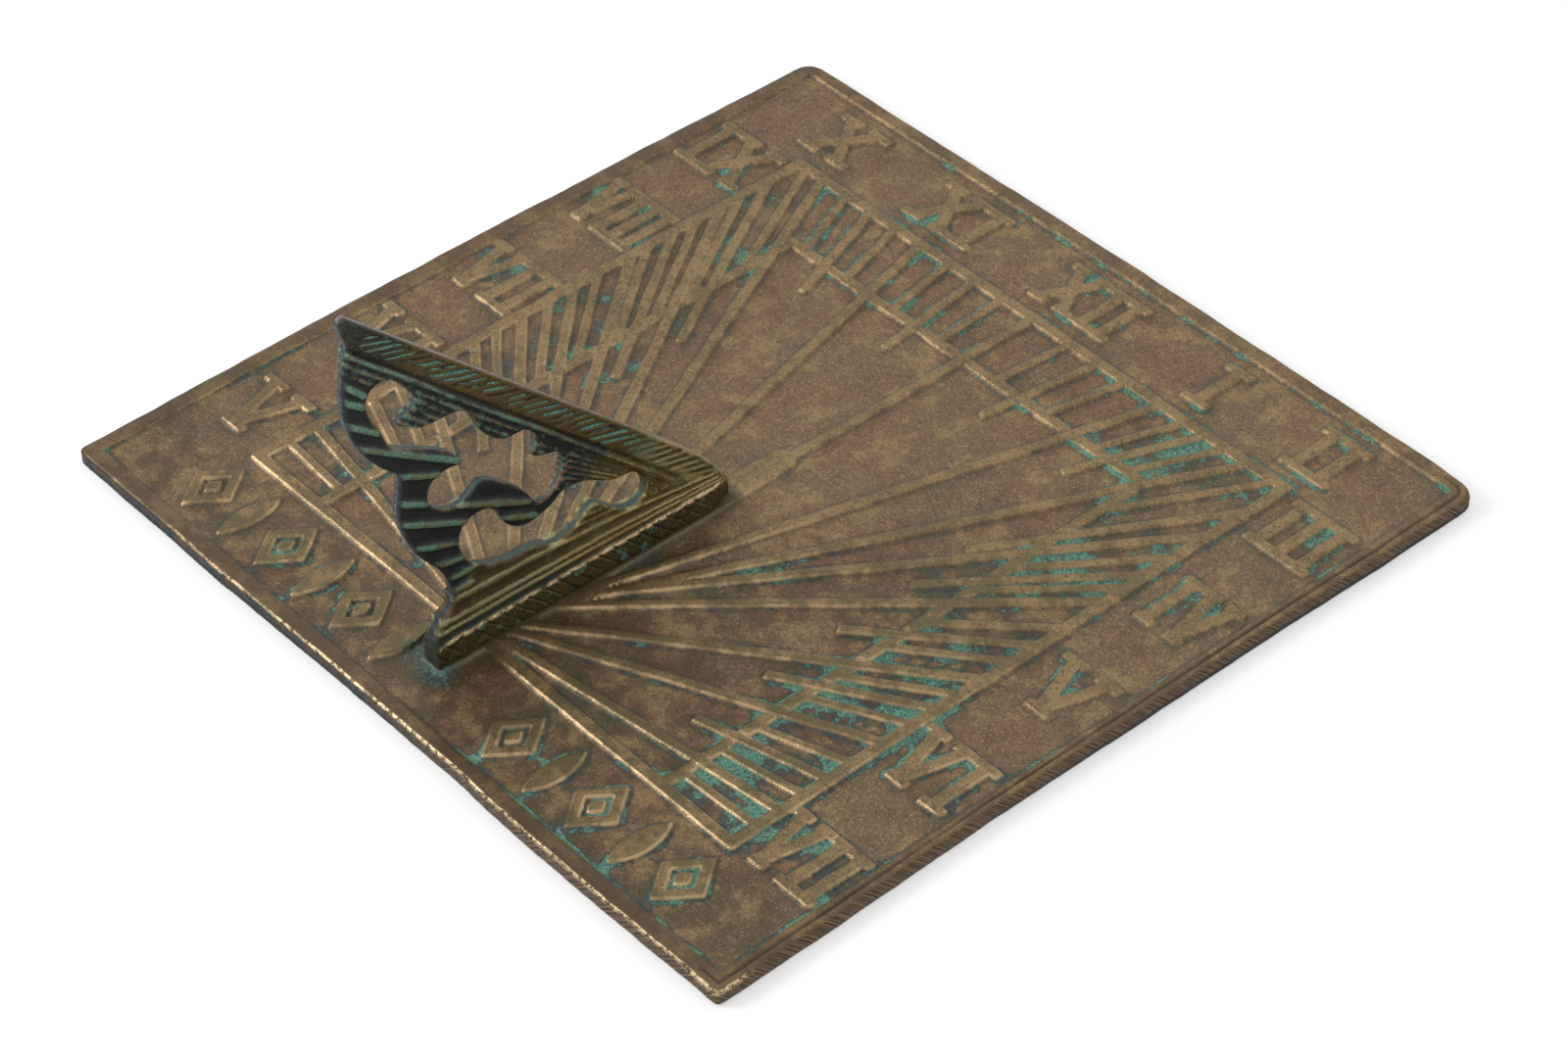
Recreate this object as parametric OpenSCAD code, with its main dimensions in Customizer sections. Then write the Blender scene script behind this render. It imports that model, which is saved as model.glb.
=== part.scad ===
// Cast brass horizontal sundial: a square dial plate with raised hour work, and a pierced gnomon
// that two countersunk screws hold from beneath.
// +Z is up and the origin is the middle of the plate's underside. The noon line runs along +Y to
// the XII, the gnomon stands on it with its toe toward the XII and its peak over the -Y edge.

/* [Dial plate] */
// Side of the square plate
plate_side = 254; // [220:2:320]
// Thickness of the plate over its raised work
plate_t = 4.4; // [3.8:0.2:7]
// Height of the raised work above the sunken field
relief_h = 1.2; // [0.6:0.1:2]
// Width of the raised rim
rim_w = 4.3; // [3:0.1:7]
// Radius of the two well rounded corners, at XII-side left and right
soft_corner_r = 5.5; // [2:0.5:12]
// Radius of the two nearly sharp corners
crisp_corner_r = 1.5; // [0.5:0.5:6]
// Width of the band between the rim and the hour frame, where the numerals stand
band_w = 28.1; // [27:0.1:34]

/* [Hour work] */
// Width of the square frame round the hour lines
frame_w = 3.2; // [2:0.1:5]
// Width of an hour line
hour_w = 2.7; // [1.8:0.1:3.6]
// Width of a half-hour mark
half_w = 2.5; // [1.6:0.1:3.4]
// Width of a quarter-hour mark
quarter_w = 2.2; // [1.4:0.1:3]
// Distance from the frame's middle to the middle of the broken line that ends the quarter marks
ladder_in = 25.3; // [18:0.1:32]
// Width of the broken line
ladder_w = 3.0; // [1.6:0.1:4.4]
// Gap in the broken line beside each mark that crosses it
ladder_gap = 0.6; // [0.3:0.1:1.5]
// How far a half-hour mark runs past the broken line
half_reach = 12; // [4:0.5:18]

/* [Numerals and ornament] */
// Height of the numerals at the left and right sides
numeral_h = 20.6; // [16:0.2:24]
// Height of the numerals on the XII side
top_numeral_h = 19.2; // [16:0.2:24]
// Width of a numeral's strokes
stroke_w = 3.1; // [2:0.1:4]
// Height of the slabs that end the strokes
slab_h = 2.5; // [1.6:0.1:4]
// Height of the lozenges and leaves in the band beside the heel
ornament_h = 19.6; // [12:0.2:24]
// Width of a lozenge
lozenge_w = 15; // [10:0.5:18]
// Width of a leaf
leaf_w = 6.4; // [3:0.2:9]
// Width of a lozenge's raised border
lozenge_rim = 3.2; // [2:0.1:4]
// Spacing of the lozenges and leaves
ornament_step = 15.6; // [14:0.2:22]

/* [Gnomon] */
// Length of the gnomon's foot, from the heel to the toe
foot_len = 95.1; // [80:0.5:120]
// Height of the gnomon's peak above its seat
gnomon_h = 117; // [80:1:150]
// Distance from the plate's edge to the heel
heel_inset = 18; // [14:0.5:30]
// Thickness of the pierced web
web_t = 3.0; // [2.4:0.1:4]
// Width of the foot, at its widest
foot_w = 7.0; // [6.4:0.1:10]
// Height of the foot's hatched side, up to its bright arris
foot_h = 7.6; // [6:0.2:12]
// How far the ribs and reeds stand out from the web
rib_out = 0.9; // [0.4:0.1:1.6]
// How far the raised seat shows round the foot
seat_margin = 0.5; // [0.3:0.1:2]
// How far the seat runs on past the toe
seat_lead = 22; // [6:1:30]

/* [Screws] */
// Diameter of a screw's thread
screw_d = 4.0; // [3:0.1:4.4]
// Diameter of a screw's countersunk head
head_d = 7.6; // [6:0.1:8]
// Length of a screw, head included
screw_len = 10; // [8.6:0.1:11]
// How much deeper the tapped holes are than the screws reach
tap_spare = 1; // [0.4:0.1:2]
// Distance from the heel to the heel screw
heel_screw_in = 14; // [10:0.5:22]
// Distance from the toe to the toe screw
toe_screw_in = 16; // [14:0.5:24]
// Clearance round a thread in its tapped hole
thread_gap = 0.05; // [0.03:0.01:0.15]
// Clearance round a screw in the plate
plate_gap = 0.25; // [0.1:0.05:0.5]
// Clearance between a screw head and its countersink
head_gap = 0.05; // [0.03:0.01:0.2]
// Width of a screw's driving slot
slot_w = 1.0; // [0.6:0.1:1.4]
// Depth of a screw's driving slot
slot_depth = 1.1; // [0.6:0.1:1.4]

/* [Hidden] */
$fn = 48;

// The casting is hand made, so its hour work isn't quite in the middle of the plate.
dial_middle = [0.4, -1.0];
// How deep raised work is rooted in what carries it, so that they are one solid
root = 0.3;
// How far a cut runs on past the face that it opens
past = 1;

field_z = plate_t - relief_h;
rim_inner = plate_side / 2 - rim_w;
frame_outer = rim_inner - band_w;
frame_mid = frame_outer - frame_w / 2;
ladder_mid = frame_mid - ladder_in;
band_mid = frame_outer + band_w / 2;
heel_y = heel_inset - plate_side / 2;
toe_y = heel_y + foot_len;
seat_w = foot_w + 2 * seat_margin;
// The gnomon stands a little to the left of the middle, as the seat does.
gnomon_x = -0.6;
thread_hole_d = screw_d + 2 * thread_gap;
plate_hole_d = screw_d + 2 * plate_gap;
// A 90 degree countersunk head narrows by its radius in its own height
head_h = (head_d - screw_d) / 2;
screw_places = [heel_y + heel_screw_in, toe_y - toe_screw_in];
tap_depth = screw_len - plate_t + tap_spare;
// How much the foot narrows on each side from its arris down to the seat
foot_draft = 0.2;
// How far the foot's slope rises from the arris to where it meets the reeds
slope_rise = 1;
// How many lozenges and leaves stand left and right of the heel
ORNAMENT_PLACES = [6, 5];

// Places on the frame are counted in half sides: 0 to 2 up the left side, 2 to 4 along the XII
// side and 4 to 6 down the right side. The dial was laid out by hand and follows no even rule.
// Each row holds the hour line, its quarter, half and three-quarter marks, the place where the
// hour line meets the seat, in half sides from the middle, and the numeral, its place, its width
// and how far it stands to the right of its band's middle.
HOURS = [
    [0.195, 0.29, 0.385, 0.48, -0.97, "V", 0.13, 19.8, 0],
    [0.575, 0.67, 0.757, 0.839, -0.94, "VI", 0.577, 24, -0.8],
    [0.933, 1.032, 1.128, 1.218, -0.90, "VII", 0.997, 26.8, -0.3],
    [1.343, 1.41, 1.506, 1.60, -0.87, "VIII", 1.444, 27, -0.2],
    [1.696, 1.772, 1.886, 2.032, -0.84, "IX", 1.872, 25.6, 0],
    [2.105, 2.216, 2.321, 2.428, -0.83, "X", 2.005, 19.8, 0],
    [2.539, 2.658, 2.767, 2.88, -0.87, "XI", 2.51, 25.6, 0],
    [3.003, 3.159, 3.278, 3.39, -0.90, "XII", 3.06, 29.2, 0],
    [3.528, 3.626, 3.70, 3.78, -0.83, "I", 3.575, 8.8, 0],
    [3.866, 3.965, 4.151, undef, -0.83, "II", 3.99, 16.3, 0],
    [4.295, 4.428, 4.53, 4.606, -0.77, "III", 4.114, 21.0, 0],
    [4.686, 4.838, 4.936, 5.028, -0.81, "IV", 4.556, 19.4, 1.4],
    [5.13, 5.215, 5.291, 5.376, -0.91, "V", 5.002, 19.8, 0.3],
    [5.476, 5.586, 5.669, 5.753, -0.94, "VI", 5.442, 23.8, -1.2],
    [5.832, 5.914, undef, undef, -0.97, "VII", 5.895, 25.8, -0.6]
];
// A quarter mark before the first hour line, as on the other side
EARLY_QUARTER = 0.1;

// The gnomon's shapes are drawn on a blank of this length and height, from the heel end of the
// foot and the top of the seat, and take the foot's real length and the real height from it.
BLANK = [95.1, 117];

// Back edge of the gnomon, from the heel up to the peak: the reeded foot, two scrolled lobes
// and the horn that ends the style
BACK_EDGE = [
    [0.0, 8], [2.6, 12.4], [6.2, 15.8], [7.1, 21], [4.8, 28], [-0.6, 35.4], [-4.2, 43],
    [-6.3, 52], [-4.9, 60.6], [-5.2, 64.7]
];
UPPER_BACK_EDGE = [
    [-9.4, 69], [-14.4, 76.3], [-17.5, 84.7], [-18.1, 93.9], [-16.6, 104], [-15.2, 108.2]
];
HORN_EDGE = [[-16.4, 111.4], [-17, 114.4], [-16.6, 116.2], [-15.2, 117]];
// The style, straight from the peak and curved down over the toe
TOE_EDGE = [[80, 24], [88, 15.2], [92.6, 8.4], [94.8, 3.6], [95.1, 0]];

// The upper opening, round the leaf that hangs from the rib
UPPER_OPENING = [
    [-7.1, 93.9], [-4.1, 92.8], [-0.9, 88.6], [1.6, 85.2], [1.2, 81.6], [-3.7, 79.5],
    [-1.4, 77.2], [3, 74.7], [11.7, 74], [16, 71.6], [20.6, 62.4], [25.9, 58], [31.7, 57.4],
    [35.2, 54.6], [35.2, 51], [33.6, 48.4], [37.4, 46.4], [41.6, 44.9], [43.1, 41.2],
    [41.6, 36.6], [39.4, 34], [36, 32.4], [33.4, 33.6], [30.6, 38.9], [25.2, 44.6],
    [18.6, 48.9], [13.6, 45.9], [8.2, 46.2], [3.4, 49.6], [2.7, 53.6], [4.4, 57.2],
    [8.6, 58.5], [12.9, 57.9], [11.7, 60.7], [7.9, 64.7], [-2.9, 71.4], [-6.6, 74.4],
    [-8.8, 80.4], [-11.4, 86.2], [-11.8, 90.6], [-10, 93.2]
];
// The lower opening, over the foot
LOWER_OPENING = [
    [16.3, 40.2], [12.2, 38.9], [10.3, 34.6], [11.6, 29.1], [15.6, 24], [24.4, 20.2],
    [32.1, 19.8], [38.6, 17], [44.6, 18.4], [50.6, 22.6], [54.4, 20.2], [59.2, 16],
    [64.2, 14.6], [67.6, 17.4], [66.9, 21.9], [63.5, 25.6], [57.3, 26.6], [49.2, 31],
    [42.7, 32.2], [37.4, 29.4], [30.4, 28], [25.2, 31], [22.4, 36.6], [19.6, 39.6]
];
// The rib under the hatched band of the style, and the reeds along the foot, each from end to end
RIB = [[-15.4, 106], [74, 18]];
REEDS = [[[6.4, 18.4], [74, 11.2]], [[2.6, 13.2], [78, 9.6]], [[0.9, 10.4], [84, 8.6]]];
RIB_W = 2.6;
REED_W = 1.7;

// A bar of width w from p to q
module bar(p, q, w)
    translate(p) rotate(atan2(q.y - p.y, q.x - p.x)) translate([0, -w / 2]) square([norm(q - p), w]);

// A smooth curve through points, open or closed
function smooth(pts, closed, steps = 4) =
    let (n = len(pts), last = closed ? n - 1 : n - 2)
    concat(
        [for (i = [0:last], k = [0:steps - 1])
            let (t = k / steps,
                 a = pts[closed ? (i + n - 1) % n : max(i - 1, 0)],
                 b = pts[i],
                 c = pts[(i + 1) % n],
                 d = pts[closed ? (i + 2) % n : min(i + 2, n - 1)])
            0.5 * (2 * b + (c - a) * t + (2 * a - 5 * b + 4 * c - d) * t * t
                + (3 * b - a - 3 * c + d) * t * t * t)],
        closed ? [] : [pts[n - 1]]);

// The plate's outline, with a radius for each corner
module plate_outline() {
    half = plate_side / 2;
    corners = [
        [[1, 1], soft_corner_r], [[-1, 1], soft_corner_r],
        [[-1, -1], crisp_corner_r], [[1, -1], crisp_corner_r]
    ];
    difference() {
        square(plate_side, center = true);
        for (c = corners)
            scale([c[0].x, c[0].y]) translate([half - c[1], half - c[1]]) difference() {
                square(c[1] + past);
                circle(c[1]);
            }
    }
}

// Where a place on the frame lies, from the middle of the dial
function on_frame(t) =
    t < 2 ? [-frame_mid, (t - 1) * frame_mid]
    : t < 4 ? [(t - 3) * frame_mid, frame_mid]
    : [frame_mid, (5 - t) * frame_mid];

// Where the hour line of a row meets the seat
function meeting(row) = [gnomon_x - dial_middle.x, row[4] * frame_mid];

// The point at which the line from p to m enters a square of the given half side
function entry(p, m, half) =
    let (d = m - p,
         fx = (abs(p.x) - half) / max(abs(d.x), 0.01),
         fy = (p.y - half) / max(-d.y, 0.01))
    p + d * max(0, fx, fy);

module frame_line() difference() {
    square(2 * frame_outer, center = true);
    square(2 * (frame_outer - frame_w), center = true);
}

module hour_lines()
    for (row = HOURS)
        bar(on_frame(row[0]), meeting(row), hour_w);

module half_marks()
    for (row = HOURS)
        if (row[2] != undef) {
            p = on_frame(row[2]);
            bar(p, entry(p, meeting(row), ladder_mid - half_reach), half_w);
        }

module quarter_marks() {
    for (row = HOURS, q = [row[1], row[3]])
        if (q != undef) {
            p = on_frame(q);
            bar(p, entry(p, meeting(row), ladder_mid), quarter_w);
        }
    early = on_frame(EARLY_QUARTER);
    bar(early, entry(early, meeting(HOURS[0]), ladder_mid), quarter_w);
}

// The broken line across the ends of the quarter marks, open beside each longer mark
module ladder_line() difference() {
    outer = ladder_mid + ladder_w / 2;
    inner = ladder_mid - ladder_w / 2;
    translate([-outer, -frame_mid]) square([2 * outer, frame_mid + outer]);
    translate([-inner, -frame_mid - past]) square([2 * inner, frame_mid + inner + past]);
    for (row = HOURS) {
        bar(on_frame(row[0]), meeting(row), hour_w + 2 * ladder_gap);
        if (row[2] != undef)
            bar(on_frame(row[2]), meeting(row), half_w + 2 * ladder_gap);
    }
}

// One stroke of a numeral of height h between its slabs, from x at the top to x at the bottom
module stroke(top_x, low_x, h)
    bar([top_x, (h - slab_h) / 2], [low_x, (slab_h - h) / 2], stroke_w);

module slab(x, w, h, top)
    translate([x - w / 2, top ? h / 2 - slab_h : -h / 2]) square([w, slab_h]);

// A glyph that fills the width w and height h, centred, with a slab at each end of its strokes
module glyph(letter, w, h) {
    arm = 0.29 * w;
    slab_w = 0.41 * w;
    if (letter == "I") {
        stroke(0, 0, h);
        for (top = [true, false])
            slab(0, w, h, top);
    }
    if (letter == "V") {
        for (side = [-1, 1]) {
            stroke(side * arm, 0, h);
            slab(side * arm, slab_w, h, true);
        }
        slab(0, slab_w, h, false);
    }
    if (letter == "X")
        for (side = [-1, 1]) {
            stroke(side * arm, -side * arm, h);
            for (top = [true, false])
                slab(side * arm, slab_w, h, top);
        }
}

// How wide each glyph is beside an I
function weight(letter) = letter == "I" ? 1 : letter == "V" ? 2.1 : 2.3;
function weight_before(word, i) = i == 0 ? 0 : weight_before(word, i - 1) + weight(word[i - 1]);

module numeral(word, w, h) {
    unit = w / weight_before(word, len(word));
    for (i = [0:len(word) - 1])
        translate([(weight_before(word, i) + weight(word[i]) / 2) * unit - w / 2, 0])
            glyph(word[i], weight(word[i]) * unit, h);
}

function on_xii_side(t) = t > 2 && t < 4;

// Where a place on the frame lies when it is carried out to the middle of the band. The shorter
// numerals on the XII side keep their outer ends in line with the others'.
function in_band(t) =
    on_xii_side(t) ? [on_frame(t).x, band_mid + (numeral_h - top_numeral_h) / 2]
    : [t < 2 ? -band_mid : band_mid, on_frame(t).y];

module numerals()
    for (row = HOURS)
        translate(in_band(row[6]) + [row[8], 0])
            numeral(row[5], row[7], on_xii_side(row[6]) ? top_numeral_h : numeral_h);

module lozenge(w, h) polygon([[w / 2, 0], [0, h / 2], [-w / 2, 0], [0, -h / 2]]);

// A lozenge with a raised border and a pip in its middle
module framed_lozenge() {
    inner_w = lozenge_w - 2 * lozenge_rim;
    inner_h = ornament_h * inner_w / lozenge_w;
    difference() {
        lozenge(lozenge_w, ornament_h);
        lozenge(inner_w, inner_h);
    }
    lozenge(inner_w / 2, inner_h / 2);
}

// A leaf pointed at both ends, where two circles cross
module leaf() {
    r = (leaf_w * leaf_w + ornament_h * ornament_h) / (4 * leaf_w);
    intersection_for (side = [-1, 1])
        translate([side * (r - leaf_w / 2), 0]) circle(r, $fn = 96);
}

// Lozenges and leaves by turns, the given number of them from a starting place to the right
module ornament_row(from, count)
    for (i = [0:count - 1])
        translate([from + (i + 0.5) * ornament_step, -band_mid])
            if (i % 2 == 0) framed_lozenge(); else leaf();

module ornaments() {
    beside_seat = gnomon_x - dial_middle.x - seat_w / 2 - ladder_gap;
    right_end = band_mid - leaf_w;
    ornament_row(beside_seat - ORNAMENT_PLACES[0] * ornament_step, ORNAMENT_PLACES[0]);
    ornament_row(right_end - ORNAMENT_PLACES[1] * ornament_step, ORNAMENT_PLACES[1]);
}

// The seat under the gnomon, which the noon line runs into
module seat() translate([gnomon_x - dial_middle.x, 0]) {
    front = toe_y + seat_lead - dial_middle.y;
    back = heel_y - seat_margin - dial_middle.y;
    translate([-seat_w / 2, back]) square([seat_w, front - seat_w / 2 - back]);
    translate([0, front - seat_w / 2]) circle(seat_w / 2);
}

// A place in the plate for one screw: a clearance hole and a countersink
module screw_hole() {
    sink_d = head_d + 2 * head_gap;
    sink_h = (sink_d - plate_hole_d) / 2;
    translate([0, 0, -past]) cylinder(h = plate_t + 2 * past, d = plate_hole_d);
    // The cone starts below the plate, so that it opens the underside at its full width
    translate([0, 0, -past]) cylinder(h = sink_h + past, d1 = sink_d + 2 * past, d2 = plate_hole_d);
}

module dial_plate() color("#86694a") difference() {
    union() {
        linear_extrude(field_z) plate_outline();
        translate([0, 0, field_z - root]) linear_extrude(relief_h + root) {
            difference() {
                plate_outline();
                square(2 * rim_inner, center = true);
            }
            translate(dial_middle) {
                frame_line();
                hour_lines();
                half_marks();
                quarter_marks();
                ladder_line();
                numerals();
                ornaments();
                seat();
            }
        }
    }
    for (y = screw_places)
        translate([gnomon_x, y, 0]) screw_hole();
}

// From the blank to the real gnomon
function fitted(pts) = [for (p = pts) [p.x * foot_len / BLANK.x, p.y * gnomon_h / BLANK.y]];

module web_outline()
    polygon(concat(
        [[0, 0]],
        smooth(fitted(BACK_EDGE), false),
        smooth(fitted(UPPER_BACK_EDGE), false),
        smooth(fitted(HORN_EDGE), false),
        smooth(fitted(TOE_EDGE), false)));

// Stands a drawing of the gnomon's side up on the seat, with the given thickness
module stand(thick)
    translate([gnomon_x, heel_y, plate_t]) rotate([90, 0, 90]) linear_extrude(thick, center = true)
        children();

// The foot's section, from the seat to the web: a hatched side, an arris and a slope
module foot_section() {
    shoulder_h = foot_h + (foot_w - web_t) / 2;
    polygon([
        [-foot_w / 2 + foot_draft, 0], [-foot_w / 2, foot_h],
        [-web_t / 2 - rib_out, foot_h + slope_rise], [-web_t / 2, shoulder_h],
        [web_t / 2, shoulder_h], [web_t / 2 + rib_out, foot_h + slope_rise],
        [foot_w / 2, foot_h], [foot_w / 2 - foot_draft, 0]
    ]);
}

// The foot along the heel, with a round nose at the toe, inside the gnomon's own outline
module foot() intersection() {
    translate([gnomon_x, 0, plate_t]) {
        translate([0, toe_y - foot_w / 2, 0]) rotate([90, 0, 0])
            linear_extrude(foot_len - foot_w / 2) foot_section();
        translate([0, toe_y - foot_w / 2, 0]) rotate_extrude() intersection() {
            foot_section();
            square([foot_w, gnomon_h]);
        }
    }
    stand(foot_w + past) web_outline();
}

module gnomon() color("#5f5230") difference() {
    union() {
        stand(web_t) difference() {
            web_outline();
            polygon(smooth(fitted(UPPER_OPENING), true));
            polygon(smooth(fitted(LOWER_OPENING), true));
        }
        stand(web_t + 2 * rib_out) {
            bar(fitted(RIB)[0], fitted(RIB)[1], RIB_W);
            for (reed = REEDS)
                bar(fitted(reed)[0], fitted(reed)[1], REED_W);
        }
        foot();
    }
    for (y = screw_places)
        translate([gnomon_x, y, plate_t - past]) cylinder(h = tap_depth + past, d = thread_hole_d);
}

// A countersunk screw, head down, flush with the plate's underside
module screw(y) color("#b08d57") translate([gnomon_x, y, 0]) difference() {
    union() {
        cylinder(h = head_h, d1 = head_d, d2 = screw_d);
        cylinder(h = screw_len, d = screw_d);
    }
    translate([-head_d, -slot_w / 2, -past]) cube([2 * head_d, slot_w, slot_depth + past]);
}

module heel_screw() screw(screw_places[0]);
module toe_screw() screw(screw_places[1]);

dial_plate();
gnomon();
heel_screw();
toe_screw();
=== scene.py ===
import math

import bmesh
import bpy
import numpy as np
from mathutils import Matrix, Vector, geometry, kdtree


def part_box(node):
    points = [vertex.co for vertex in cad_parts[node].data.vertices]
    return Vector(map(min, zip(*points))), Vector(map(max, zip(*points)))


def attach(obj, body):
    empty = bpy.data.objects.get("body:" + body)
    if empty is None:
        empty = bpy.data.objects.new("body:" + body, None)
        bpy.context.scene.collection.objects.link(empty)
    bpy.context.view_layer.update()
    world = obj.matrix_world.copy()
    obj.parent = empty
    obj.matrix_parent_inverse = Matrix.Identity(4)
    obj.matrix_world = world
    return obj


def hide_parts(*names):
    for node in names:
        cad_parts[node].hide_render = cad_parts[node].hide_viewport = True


# A weathered cast brass sundial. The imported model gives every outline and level. The plate and the
# gnomon are modelled again over it as castings: soft arrises, drafted walls, hand filed surfaces.
# Lengths are in millimetres until a mesh is made.
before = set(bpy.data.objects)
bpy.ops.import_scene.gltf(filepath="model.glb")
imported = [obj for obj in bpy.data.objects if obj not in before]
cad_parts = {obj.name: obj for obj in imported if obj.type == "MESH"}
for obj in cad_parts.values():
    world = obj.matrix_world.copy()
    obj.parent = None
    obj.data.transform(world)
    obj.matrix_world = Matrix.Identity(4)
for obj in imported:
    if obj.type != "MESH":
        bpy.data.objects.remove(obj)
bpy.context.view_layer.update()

MM = 0.001
ROOT = "root"


# Random numbers and curves

def hashed(ix, iy, seed):
    """A steady value from -1 to 1 for each pair of whole numbers."""
    h = (ix * 374761393 + iy * 668265263 + seed * 1274126177) & 0xFFFFFFFF
    h = ((h ^ (h >> 13)) * 1274126177) & 0xFFFFFFFF
    return (h ^ (h >> 16)) / 0x7FFFFFFF - 1.0


def noise(p, size, seed):
    """Smooth values from -1 to 1 at the points p, with lumps of about the given size."""
    cell = np.floor(p / size).astype(np.int64)
    f = p / size - cell
    f = f * f * (3 - 2 * f)
    ix, iy = cell.T
    fx, fy = f.T
    low = hashed(ix, iy, seed) * (1 - fx) + hashed(ix + 1, iy, seed) * fx
    high = hashed(ix, iy + 1, seed) * (1 - fx) + hashed(ix + 1, iy + 1, seed) * fx
    return low * (1 - fy) + high * fy


def rough(p, size, seed, octaves=3):
    """Noise with finer noise added, each octave half as large and half as strong."""
    return sum(noise(p, size / 2 ** k, seed + k) / 2 ** k for k in range(octaves))


def ease(x, start, end):
    """0 before start and 1 after end, with a smooth rise between them."""
    t = np.clip((x - start) / (end - start), 0, 1)
    return t * t * (3 - 2 * t)


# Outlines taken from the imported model

def welded(node):
    """A CAD node's corners, each once, and its triangles."""
    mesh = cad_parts[node].data
    mesh.calc_loop_triangles()
    co = np.empty(len(mesh.vertices) * 3, np.float32)
    mesh.vertices.foreach_get("co", co)
    tri = np.empty(len(mesh.loop_triangles) * 3, np.int32)
    mesh.loop_triangles.foreach_get("vertices", tri)
    corners, index = np.unique(np.round(co.reshape(-1, 3) / MM, 3), axis=0, return_inverse=True)
    return corners, index.ravel()[tri.reshape(-1, 3)]


def chained(edges):
    """Closed rings of corner numbers from directed edges."""
    following = {}
    for a, b in edges:
        following.setdefault(a, []).append(b)
    rings = []
    while following:
        start = next(iter(following))
        ring, at = [start], start
        while True:
            after = following[at].pop()
            if not following[at]:
                del following[at]
            if after == start:
                break
            ring.append(after)
            at = after
        rings.append(ring)
    return rings


def border(triangles):
    """The directed edges that only one of the triangles has."""
    sides = np.concatenate([triangles[:, [0, 1]], triangles[:, [1, 2]], triangles[:, [2, 0]]])
    known = set(map(tuple, sides.tolist()))
    return [side for side in sorted(known) if side[::-1] not in known]


def resampled(ring, step):
    """A closed ring of points at equal steps of about the given length."""
    closed = np.vstack([ring, ring[:1]])
    along = np.concatenate([[0], np.cumsum(np.linalg.norm(np.diff(closed, axis=0), axis=1))])
    count = max(8, int(round(along[-1] / step)))
    at = np.arange(count) * along[-1] / count
    return np.stack([np.interp(at, along, closed[:, k]) for k in range(2)], 1)


def relaxed(ring, passes):
    """A closed ring with its corners worn round."""
    for _ in range(passes):
        ring = (np.roll(ring, 1, 0) + 2 * ring + np.roll(ring, -1, 0)) / 4
    return ring


def inward(ring):
    """Unit normals that point to the left of the way the ring runs."""
    d = np.roll(ring, -1, 0) - np.roll(ring, 1, 0)
    d /= np.maximum(np.linalg.norm(d, axis=1, keepdims=True), 1e-9)
    return np.stack([-d[:, 1], d[:, 0]], 1)


def kept_points(ring, longest, turn):
    """Which points of a fine ring carry its shape: one at least every longest mm, more on bends."""
    d = np.roll(ring, -1, 0) - ring
    heading = np.arctan2(d[:, 1], d[:, 0])
    bend = np.abs((np.diff(heading, append=heading[:1]) + np.pi) % (2 * np.pi) - np.pi)
    length = np.linalg.norm(d, axis=1)
    kept, turned, gone = [0], 0.0, 0.0
    for i in range(1, len(ring)):
        turned += bend[i - 1]
        gone += length[i - 1]
        if turned > turn or gone > longest:
            kept.append(i)
            turned, gone = 0.0, 0.0
    return np.array(kept)


class Edge:
    """Signed distance to outlines, more than 0 on their inner side."""

    def __init__(self, rings, step):
        self.points = np.concatenate(rings)
        self.normals = np.concatenate([inward(ring) for ring in rings])
        self.reach = step / 2
        self.tree = kdtree.KDTree(len(self.points))
        for i, (x, y) in enumerate(self.points):
            self.tree.insert((x, y, 0), i)
        self.tree.balance()

    def __call__(self, p):
        near = np.array([self.tree.find((x, y, 0))[1] for x, y in p])
        d = p - self.points[near]
        across = (d * self.normals[near]).sum(1)
        beside = np.maximum((d * d).sum(1) - across ** 2, 0)
        beside = np.maximum(np.sqrt(beside) - self.reach, 0)
        return np.sign(across) * np.hypot(across, beside)


def levelled(rings, edge, level, longest, turn):
    """Points along the rings, moved to the given distance from the outline, where there is room."""
    found = []
    for ring in rings:
        kept = kept_points(ring, longest, turn)
        found.append(ring[kept] + inward(ring)[kept] * level)
    found = np.concatenate(found)
    return found[np.abs(edge(found) - level) < 0.1]


def honeycomb(low, high, step):
    """Points in a honeycomb over a rectangle."""
    rise = step * math.sqrt(3) / 2
    rows = np.arange(low[1], high[1], rise)
    across = np.arange(low[0], high[0], step)
    x, y = np.meshgrid(across, rows)
    x = x + (np.arange(len(rows)) % 2)[:, None] * step / 2
    return np.stack([x.ravel(), y.ravel()], 1)


def within(p, ring):
    """Whether each point lies inside a closed ring."""
    ends = np.roll(ring, -1, 0)
    inside = np.zeros(len(p), bool)
    for (x0, y0), (x1, y1) in zip(ring, ends):
        crossed = (y0 > p[:, 1]) != (y1 > p[:, 1])
        at = x0 + (p[crossed, 1] - y0) * (x1 - x0) / (y1 - y0) if crossed.any() else 0
        inside[crossed] ^= p[crossed, 0] < at
    return inside


def filled(rings, inner):
    """Triangles over the area inside the first ring and outside the others."""
    points = np.concatenate(rings + [inner])
    edges, start = [], 0
    for ring in rings:
        n = len(ring)
        edges += [(start + i, start + (i + 1) % n) for i in range(n)]
        start += n
    flat, _, faces, _, _, _ = geometry.delaunay_2d_cdt([Vector(p) for p in points], edges, [], 0, 1e-4)
    flat, faces = np.array([tuple(p) for p in flat]), np.array(faces)
    middles = flat[faces].mean(1)
    wanted = within(middles, rings[0])
    for ring in rings[1:]:
        wanted &= ~within(middles, ring)
    return flat, faces[wanted]


def strip(start_a, start_b, count):
    """Quads between two closed rings of corners that start at the given numbers."""
    i = np.arange(count)
    j = (i + 1) % count
    return np.stack([start_a + i, start_a + j, start_b + j, start_b + i], 1)


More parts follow.
